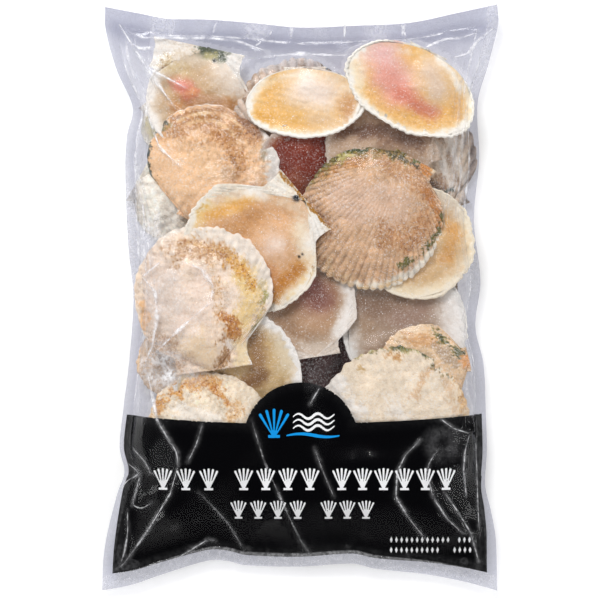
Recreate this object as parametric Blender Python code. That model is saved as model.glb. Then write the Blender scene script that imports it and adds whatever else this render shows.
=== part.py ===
"""Sealed pouch of frozen scallops in the half shell, lying on its back: one closed solid.

Metres, +Z up. X is the pouch's width, +Y points to its top seal, and the origin is the
bottom centre of its bounding box. The front film is drawn tight over the shells, so its
relief is a dome for each shell. Along all four sides both films meet in a thin flat seal.
"""

import math

import bmesh
import bpy

MM = 0.001

# The pouch as cut from the roll, before the vacuum draws its edges in.
POUCH_WIDTH = 246.0
POUCH_LENGTH = 364.0

# The seals: both films welded together, held a little above the floor by the filled pouch.
SEAL_THICKNESS = 1.0
SEAL_HEIGHT = 8.0
SEAL_WIDTH_SIDES = 7.0
SEAL_WIDTH_TOP = 11.0
SEAL_WIDTH_BOTTOM = 9.0
SIDE_WAVE_HEIGHT = 1.5
SIDE_WAVES = 1.3
END_WAVE_HEIGHT = 1.2
END_WAVES = 1.1

# How wide the films' slopes are between a seal and the filled part.
FRONT_SHOULDER = 22.0
FRONT_SHOULDER_ROUNDING = 0.75
BACK_SHOULDER = 16.0

# The filling between the domes, a little higher at the bottom end, and how deep each dome is.
FILL_HEIGHT = 18.0
FILL_HEIGHT_BOTTOM_END = 23.0
BOTTOM_END_FROM = -61.0
BOTTOM_END_TO = -91.0
DOME_DROP = 10.0
DOME_BLEND = 2.2

COLUMNS = 36
ROWS = 54

# How far the vacuum draws each edge in from the cut rectangle: (place along the edge, inset).
LEFT_EDGE = [
    (-182, 0), (-160, 1), (-143, 4), (-120, 10), (-108, 14), (-93, 11), (-71, 13), (-37, 17),
    (2, 19.5), (32, 16.5), (79, 14.5), (102, 15.5), (119, 19), (143, 9), (168, 2.3), (182, 2),
]
RIGHT_EDGE = [
    (-182, 0.5), (-150, 1.4), (-132, 4.5), (-117, 8), (-95, 7), (-75, 7.5), (-41, 9), (-18, 14),
    (10, 11), (48, 15), (86, 11.7), (121, 12.6), (145, 6), (170, 0), (182, 0.5),
]
TOP_EDGE = [
    (-123, 1.5), (-100, 6), (-84, 9), (-60, 9.4), (-31, 11.4), (-1, 14.3), (31, 13.4),
    (68, 11.4), (97, 5.5), (123, 0),
]
BOTTOM_EDGE = [
    (-123, 0), (-104, 3.7), (-88, 9.3), (-57, 18.6), (-45, 18.4), (-34, 15.8), (0, 15),
    (33, 16.8), (47, 13.7), (79, 10), (103, 5.4), (123, 0),
]

# The shells that press on the front film: (x, y, radius, height of the dome's top).
SHELLS = [
    (-59, 0, 44, 36), (44, 47, 43, 34), (-31, 31, 42, 31), (68, 128, 38, 30),
    (2, 120, 35, 32), (-53, 76, 42, 32), (-66, 122, 36, 22), (57, -75, 46, 27),
    (-58, -84, 40, 32), (72, 34, 36, 29), (84, 88, 30, 28), (9, -6, 34, 23),
    (66, -18, 38, 20), (-36, -48, 38, 28), (-84, 58, 26, 20), (2, 82, 30, 30),
    (-45, -124, 36, 26), (20, -114, 38, 27), (74, -120, 34, 27), (-92, -16, 22, 28),
]

FILM_COLOUR = (0.62, 0.52, 0.42, 1.0)
FILM_ROUGHNESS = 0.15


def smoothstep(low, high, value):
    t = min(max((value - low) / (high - low), 0.0), 1.0)
    return t * t * (3.0 - 2.0 * t)


def slope_at(knots, i):
    before = knots[max(i - 1, 0)]
    after = knots[min(i + 1, len(knots) - 1)]
    return (after[1] - before[1]) / (after[0] - before[0])


def inset(knots, place):
    """The edge's inset there: a cubic between each two knots, with no corner at a knot."""
    i = 0
    while i < len(knots) - 2 and place > knots[i + 1][0]:
        i += 1
    (start, value), (end, next_value) = knots[i], knots[i + 1]
    run = end - start
    t = (place - start) / run
    rest = 1.0 - t
    return (
        value * rest * rest * (1 + 2 * t)
        + next_value * t * t * (3 - 2 * t)
        + slope_at(knots, i) * run * t * rest * rest
        - slope_at(knots, i + 1) * run * t * t * rest
    )


def place_on_pouch(u, v):
    """Where a point of the cut film lies: u and v run from -1 to 1 across and up the pouch."""
    cut_x = u * POUCH_WIDTH / 2
    cut_y = v * POUCH_LENGTH / 2
    left = -POUCH_WIDTH / 2 + inset(LEFT_EDGE, cut_y)
    right = POUCH_WIDTH / 2 - inset(RIGHT_EDGE, cut_y)
    bottom = -POUCH_LENGTH / 2 + inset(BOTTOM_EDGE, cut_x)
    top = POUCH_LENGTH / 2 - inset(TOP_EDGE, cut_x)
    x = left + (right - left) * (u + 1) / 2
    y = bottom + (top - bottom) * (v + 1) / 2
    return x, y


def distance_inside_seals(u, v):
    """Distance from the nearest seal's inner edge, on the cut film; below zero on a seal."""
    from_side = (1 - abs(u)) * POUCH_WIDTH / 2 - SEAL_WIDTH_SIDES
    end_seal = SEAL_WIDTH_TOP if v > 0 else SEAL_WIDTH_BOTTOM
    from_end = (1 - abs(v)) * POUCH_LENGTH / 2 - end_seal
    return min(from_side, from_end)


def relief(x, y):
    """Height of the front film over the shells: the highest dome, blended with the filling."""
    towards_end = smoothstep(-BOTTOM_END_FROM, -BOTTOM_END_TO, -y)
    fill = FILL_HEIGHT + (FILL_HEIGHT_BOTTOM_END - FILL_HEIGHT) * towards_end
    total = math.exp(fill / DOME_BLEND)
    for shell_x, shell_y, radius, top in SHELLS:
        share = math.hypot(x - shell_x, y - shell_y) / radius
        total += math.exp((top - DOME_DROP * share * share) / DOME_BLEND)
    return DOME_BLEND * math.log(total)


def seal_height(u, v):
    """The seals' height above the floor, with the slight waves of a stiff film."""
    side_wave = SIDE_WAVE_HEIGHT * abs(u) * math.sin(SIDE_WAVES * math.tau * v)
    end_wave = END_WAVE_HEIGHT * abs(v) * math.sin(END_WAVES * math.tau * u)
    return SEAL_HEIGHT + side_wave + end_wave


def front_height(u, v):
    x, y = place_on_pouch(u, v)
    seal = seal_height(u, v) + SEAL_THICKNESS / 2
    up_the_slope = smoothstep(0.0, FRONT_SHOULDER, distance_inside_seals(u, v))
    return seal + (relief(x, y) - seal) * up_the_slope**FRONT_SHOULDER_ROUNDING


def back_height(u, v):
    seal = seal_height(u, v) - SEAL_THICKNESS / 2
    return seal * (1.0 - smoothstep(0.0, BACK_SHOULDER, distance_inside_seals(u, v)))


def add_film(mesh, height):
    """Adds one film as a grid shaped to the pouch, and returns the grid's vertices."""
    grid = bmesh.ops.create_grid(mesh, x_segments=COLUMNS, y_segments=ROWS, size=1.0)
    for vertex in grid["verts"]:
        u, v = vertex.co.x, vertex.co.y
        x, y = place_on_pouch(u, v)
        vertex.co = (x * MM, y * MM, height(u, v) * MM)
    return grid["verts"]


def build_pouch():
    """Both films, joined round the outside by the seals' cut edge."""
    mesh = bmesh.new()
    add_film(mesh, front_height)
    back = set(add_film(mesh, back_height))
    back_faces = [face for face in mesh.faces if face.verts[0] in back]
    bmesh.ops.reverse_faces(mesh, faces=back_faces)
    rim = [edge for edge in mesh.edges if edge.is_boundary]
    bmesh.ops.bridge_loops(mesh, edges=rim)
    bmesh.ops.recalc_face_normals(mesh, faces=mesh.faces)
    data = bpy.data.meshes.new("pouch")
    mesh.to_mesh(data)
    mesh.free()
    data.shade_smooth()
    return bpy.data.objects.new("pouch", data)


def clear_film():
    material = bpy.data.materials.new("clear_film")
    material.use_nodes = True
    shader = material.node_tree.nodes["Principled BSDF"]
    shader.inputs["Base Color"].default_value = FILM_COLOUR
    shader.inputs["Roughness"].default_value = FILM_ROUGHNESS
    shader.inputs["Metallic"].default_value = 0.0
    return material


for old in list(bpy.data.objects):
    bpy.data.objects.remove(old)
parts = bpy.data.collections.new("scallop_pouch")
bpy.context.scene.collection.children.link(parts)
pouch = build_pouch()
pouch.data.materials.append(clear_film())
parts.objects.link(pouch)
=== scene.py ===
"""A sealed pouch of frozen scallops in the half shell, lying on a pale table, seen from above.

Metres in the scene, millimetres in the sizes below. X is the pouch's width, +Y points to its
top seal and +Z is up. Scallops are stacked from the back film up, then the front film is
drawn over them, printed, and welded to the back film round all four sides.
"""

import math

import bmesh
import bpy
import numpy as np
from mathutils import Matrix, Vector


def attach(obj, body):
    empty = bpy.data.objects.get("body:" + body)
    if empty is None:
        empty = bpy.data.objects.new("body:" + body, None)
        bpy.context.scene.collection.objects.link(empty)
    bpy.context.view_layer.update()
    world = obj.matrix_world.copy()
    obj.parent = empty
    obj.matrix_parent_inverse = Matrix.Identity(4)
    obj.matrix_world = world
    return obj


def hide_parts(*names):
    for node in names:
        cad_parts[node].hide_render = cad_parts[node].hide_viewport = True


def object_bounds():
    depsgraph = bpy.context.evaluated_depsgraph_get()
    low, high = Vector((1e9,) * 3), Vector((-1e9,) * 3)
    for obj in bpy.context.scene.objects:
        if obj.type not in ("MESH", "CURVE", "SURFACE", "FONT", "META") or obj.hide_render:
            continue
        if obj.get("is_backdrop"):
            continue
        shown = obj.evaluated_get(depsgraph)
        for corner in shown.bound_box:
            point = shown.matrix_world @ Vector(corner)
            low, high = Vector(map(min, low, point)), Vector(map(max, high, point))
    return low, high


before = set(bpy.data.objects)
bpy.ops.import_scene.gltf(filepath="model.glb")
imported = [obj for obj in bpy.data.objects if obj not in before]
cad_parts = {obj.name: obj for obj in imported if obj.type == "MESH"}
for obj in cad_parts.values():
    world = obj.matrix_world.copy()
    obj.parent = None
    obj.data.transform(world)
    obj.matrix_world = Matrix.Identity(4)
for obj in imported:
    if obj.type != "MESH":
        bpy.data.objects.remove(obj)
cad_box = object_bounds()

# ---------------------------------------------------------------------------
# The table and the light: a pale matt table, four soft boxes round it and a dim
# ceiling, so that the black print stays deep and the film's folds catch the boxes.
# ---------------------------------------------------------------------------

MM = 0.001
CAMERA_HEIGHT = 2600.0
CAMERA_Y = -1.5
SEEN_ACROSS = 372.0
SEEN_HEIGHT = 12.0
SENSOR = 36.0


def srgb(hex_colour):
    """An sRGB hex colour as red, green and blue from 0 to 1."""
    return np.array([int(hex_colour[i : i + 2], 16) / 255 for i in (1, 3, 5)])


def linear(colours):
    """sRGB colours from 0 to 1 turned to linear, or one hex colour, which gains an alpha of 1."""
    if isinstance(colours, str):
        return [*linear(srgb(colours)), 1.0]
    return np.where(colours <= 0.04045, colours / 12.92, ((colours + 0.055) / 1.055) ** 2.4)


def new_material(name):
    """An empty node material, and its tree."""
    material = bpy.data.materials.new(name)
    material.use_nodes = True
    material.node_tree.nodes.clear()
    return material, material.node_tree


def node(tree, kind, inputs=(), stops=(), **settings):
    """Adds a node. Inputs pair a socket with a value or a link, stops pair a place on a
    colour ramp with a grey or a hex colour, and settings are the node's properties."""
    made = tree.nodes.new(kind)
    for name, value in settings.items():
        setattr(made, name, value)
    for socket, value in dict(inputs).items():
        if isinstance(value, bpy.types.NodeSocket):
            tree.links.new(value, made.inputs[socket])
        else:
            made.inputs[socket].default_value = value
    for _ in stops[2:]:
        made.color_ramp.elements.new(0.5)
    for number, (place, colour) in enumerate(stops):
        step = made.color_ramp.elements[number]
        step.position = place
        step.color = linear(colour) if isinstance(colour, str) else [colour] * 3 + [1.0]
    return made


def new_piece(name, mesh):
    """An object at the origin holding the bmesh, smooth shaded."""
    data = bpy.data.meshes.new(name)
    mesh.to_mesh(data)
    mesh.free()
    data.shade_smooth()
    piece = bpy.data.objects.new(name, data)
    bpy.context.scene.collection.objects.link(piece)
    return piece


def matt_laminate():
    """White laminate: matt, with a faint grain, drawn coarser than it is so that it shows, and
    bright enough to hide its own far edge."""
    material, tree = new_material("matt_white_laminate")
    grain = node(tree, "ShaderNodeTexNoise", {"Scale": 1 / (0.8 * MM), "Detail": 3.0})
    shade = node(
        tree, "ShaderNodeValToRGB", {"Fac": grain.outputs["Fac"]}, [(0.3, "#F3F3F3"), (0.7, "#F8F8F8")]
    )
    surface = node(
        tree,
        "ShaderNodeBsdfPrincipled",
        {
            "Base Color": shade.outputs["Color"],
            "Roughness": 0.7,
            "Emission Color": linear("#FFFFFF"),
            "Emission Strength": 0.26,
        },
    )
    node(tree, "ShaderNodeOutputMaterial", {"Surface": surface.outputs[0]})
    return material


TABLE_HALF_WIDTH = 3.0
table_mesh = bmesh.new()
bmesh.ops.create_grid(table_mesh, x_segments=1, y_segments=1, size=TABLE_HALF_WIDTH)
table_top = new_piece("table_top", table_mesh)
table_top.data.materials.append(matt_laminate())
table_top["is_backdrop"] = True

camera = bpy.data.objects.new("camera", bpy.data.cameras.new("camera"))
bpy.context.scene.collection.objects.link(camera)
camera.location = (0.0, CAMERA_Y * MM, CAMERA_HEIGHT * MM)
camera.data.sensor_width = SENSOR
camera.data.lens = SENSOR * (CAMERA_HEIGHT - SEEN_HEIGHT) / SEEN_ACROSS
camera.data.clip_start = 0.05
bpy.context.scene.camera = camera

# Each soft box: compass angle, angle above the table, side length in metres, power in watts.
SOFT_BOXES = [(112, 44, 0.7, 19), (215, 34, 0.7, 4), (330, 34, 0.7, 5), (20, 32, 0.5, 3)]
BOX_DISTANCE = 1.6

for number, (turn, rise, side, power) in enumerate(SOFT_BOXES):
    lamp = bpy.data.objects.new(f"soft_box_{number}", bpy.data.lights.new("soft_box", "AREA"))
    lamp.data.size = side
    lamp.data.energy = power
    bpy.context.scene.collection.objects.link(lamp)
    turn, rise = math.radians(turn), math.radians(rise)
    lamp.location = (
        BOX_DISTANCE * math.cos(turn) * math.cos(rise),
        BOX_DISTANCE * math.sin(turn) * math.cos(rise),
        BOX_DISTANCE * math.sin(rise),
    )
    lamp.rotation_euler = (math.pi / 2 - rise, 0.0, turn + math.pi / 2)

world = bpy.data.worlds.new("studio")
bpy.context.scene.world = world
world.use_nodes = True
world.node_tree.nodes.clear()
sky = node(world.node_tree, "ShaderNodeTexCoord")
height = node(world.node_tree, "ShaderNodeSeparateXYZ", {"Vector": sky.outputs["Generated"]})
ceiling = node(
    world.node_tree,
    "ShaderNodeValToRGB",
    {"Fac": height.outputs["Z"]},
    [(0.0, 0.95), (0.45, 0.9), (0.78, 0.28), (0.93, 0.05)],
)
air = node(
    world.node_tree, "ShaderNodeBackground", {"Color": ceiling.outputs["Color"], "Strength": 0.78}
)
node(world.node_tree, "ShaderNodeOutputWorld", {"Surface": air.outputs[0]})
bpy.context.scene.view_settings.view_transform = "Standard"

# ---------------------------------------------------------------------------
# The scallops: one valve each, a ribbed calcite fan with two ears along a straight hinge,
# with the frozen meat, its mantle and the roe in its bowl. Some lie outer side up. Each is
# laid on the heap in turn, where it comes to rest lowest.
# ---------------------------------------------------------------------------

# Shares of a valve's radius: from its centre to its beak, the height of its dome, and how
# deep the meat lies. FAN_SHARE is the part of the grid's width that makes the fan, and the
# rest makes the ears.
BEAK_REACH = 1.02
DOME_SHARE = 0.23
MEAT_DEPTH = 0.075
FAN_SHARE = 0.86
# The height of the ribs and the thickness of the wall, in mm.
RIB_HEIGHT = 0.42
VALVE_THICKNESS = 1.3
# How much stronger the colours are laid on than they are named, as rime pales them.
VIVID = 1.12

# From the bottom of the heap up: name, centre in mm, radius, heading of the beak in degrees,
# True if the meat faces up, ribs, length over width, and how finely it is made.
SCALLOPS = [
    ("low_a", (-58, 70), 38, 30, False, 30, 1.0, 0),
    ("low_b", (22, 66), 39, 200, True, 30, 1.0, 0),
    ("low_c", (66, 92), 33, 120, False, 30, 1.0, 0),
    ("low_d", (-52, -18), 39, 250, True, 30, 1.0, 0),
    ("low_e", (14, -22), 38, 80, False, 30, 1.0, 0),
    ("low_f", (66, 6), 35, 330, True, 30, 1.0, 0),
    ("low_g", (50, -66), 39, 20, True, 30, 1.0, 0),
    ("low_h", (-22, -92), 38, 100, False, 30, 1.0, 0),
    ("edge_ochre", (-78, -39), 23, 20, False, 30, 1.0, 1),
    ("edge_white", (-80, 60), 24, 150, False, 30, 1.0, 1),
    ("top_left_small", (-78, 108), 21, 128, True, 30, 1.0, 1),
    ("top_left", (-63.5, 123), 32, 78, True, 34, 1.0, 2),
    ("top_back", (-3, 110), 38, 264, False, 26, 1.0, 2),
    ("dark_red", (3, 82), 28, 60, True, 34, 1.0, 1),
    ("right_high", (75, 86), 35, 290, False, 17, 1.0, 2),
    ("behind_middle", (49, 91), 34, 20, True, 34, 1.0, 1),
    ("left_high", (-53.5, 82), 42, 245, False, 34, 0.86, 3),
    ("right_low", (65, -18), 39.5, 130, True, 34, 1.0, 2),
    ("right_middle", (73, 34), 35, 165, True, 34, 1.0, 2),
    ("mauve", (5, -6), 30.5, 279, True, 34, 1.0, 2),
    ("pale_yellow", (-38, -48), 39.7, 200, True, 34, 1.0, 2),
    ("top_middle", (3, 120), 36.5, 90, True, 40, 0.60, 2),
    ("big_right", (44, 49), 44, 61, False, 44, 1.0, 3),
    ("top_right", (68, 128.5), 42.5, 64, True, 42, 0.63, 3),
    ("middle", (-29.5, 32), 43, 40, True, 44, 1.0, 3),
    ("behind_cream", (76, -45), 28.5, 12, False, 34, 1.0, 2),
    ("cream_right", (57.2, -77), 47.7, 285, False, 40, 0.97, 3),
    ("print_a", (-53, -118), 33, 90, False, 30, 1.0, 2),
    ("print_b", (15, -116), 35, 180, True, 30, 1.0, 2),
    ("print_c", (68, -122), 34, 60, False, 30, 1.0, 2),
    ("cream_left", (-55, -85), 40, 275, False, 40, 1.0, 3),
    ("big_left", (-59.3, 0.5), 43, 278, False, 34, 1.04, 3),
]
# Columns and rows of a valve's grid, from the hidden ones at the bottom to those on top.
FINENESS = [(72, 22), (140, 40), (184, 52), (304, 76)]
HIDDEN_MEAT_CELLS = 33

# The colour of each scallop's valve and of its meat, and its pale lip: colour, width in mm,
# and the directions from the fan's centre between which it shows.
GROUNDS = {
    # The low scallops deep in the heap are painted darker and greyer, a painted shade for the light that
    # hardly reaches them. low_e and low_g are darkest, a painted shadow in the gaps between the scallops
    # above.
    "low_a": ("#A8957F", "#B08E74", None),
    "low_b": ("#B9A78F", "#9C7B66", None),
    "low_c": ("#A0907E", "#B08E74", None),
    "low_d": ("#C4B59C", "#B99A78", None),
    "low_e": ("#553634", "#B08E74", None),
    "low_f": ("#B5A48F", "#8D7468", None),
    "low_g": ("#4C2C2C", "#3A1A1A", None),
    "low_h": ("#A8957F", "#B08E74", None),
    "edge_ochre": ("#CBB298", "#C9A67C", None),
    "edge_white": ("#F8F3E8", "#D8C6A4", None),
    "top_left_small": ("#ECE7DE", "#D9CEA6", None),
    "top_left": ("#F6F0E8", "#CAAE8C", None),
    "top_back": ("#DDCBBC", "#C9A67C", None),
    "dark_red": ("#C2AFA2", "#6E2409", None),
    "right_high": ("#D4C3B0", "#C9A67C", None),
    "behind_middle": ("#C0AD9C", "#B5987F", None),
    "left_high": ("#E5C09A", "#C9A67C", ("#E9E3DC", 11, -50, 42)),
    "right_low": ("#E0DCD7", "#A8917D", None),
    "right_middle": ("#ECDFC8", "#D9B98E", None),
    # The meats of mauve and pale_yellow are painted darker, a painted shade, as they lie in the shade of
    # the scallops around them.
    "mauve": ("#E2D8CE", "#A38468", None),
    "pale_yellow": ("#F3EEE8", "#C6AA7E", None),
    "top_middle": ("#F6F1E7", "#E6B873", None),
    "big_right": ("#D3B08F", "#C9A67C", ("#F0E6D6", 6.5, -125, 0)),
    "top_right": ("#F6F1E6", "#E9B970", None),
    "middle": ("#F5ECDC", "#D8AC82", None),
    "behind_cream": ("#E2C6A4", "#C9A67C", None),
    "cream_right": ("#EFDFC8", "#C9A67C", None),
    "print_a": ("#C8B8A4", "#C9A67C", None),
    "print_b": ("#C8B8A4", "#C9A67C", None),
    "print_c": ("#C8B8A4", "#C9A67C", None),
    "cream_left": ("#F0E1CA", "#C9A67C", None),
    "big_left": ("#ECD8C4", "#C9A67C", ("#ECE1D4", 13.5, -38, 128)),
}

# How far each fan opens to the left and right of its axis, in degrees, where it isn't 60.
OPENINGS = {
    "middle": (57, 50), "big_left": (50, 63), "top_left": (56, 56), "mauve": (56, 56),
    "big_right": (70, 64), "left_high": (62, 62), "top_right": (72, 72), "top_middle": (70, 70),
    "cream_right": (67, 62),
}

# How far along the hinge each ear reaches, in radii, where it isn't 0.56.
EARS = {
    "top_right": (0.30, 0.30), "top_middle": (0.36, 0.36), "big_right": (0.16, 0.48),
    "left_high": (0.2, 0.2), "top_left": (0.74, 1.06), "cream_right": (0.2, 0.4),
    "edge_ochre": (0.2, 0.2), "mauve": (0.50, 0.50), "pale_yellow": (0.2, 0.2), "low_f": (0.2, 0.2),
    "behind_cream": (0.30, 0.22),
}

# How much higher a scallop rests than its own weight would take it, in mm.
RAISED = {"pale_yellow": 3.0}

# How plainly the ribs show towards the beak, where it isn't 0.35.
RIBBED = {
    "big_right": 0.8, "right_high": 1.0, "top_back": 0.9, "left_high": 0.0, "big_left": 0.1,
    "cream_right": 0.0, "cream_left": 0.0, "edge_ochre": 0.0, "behind_cream": 0.1, "top_right": 0.8,
}
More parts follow.
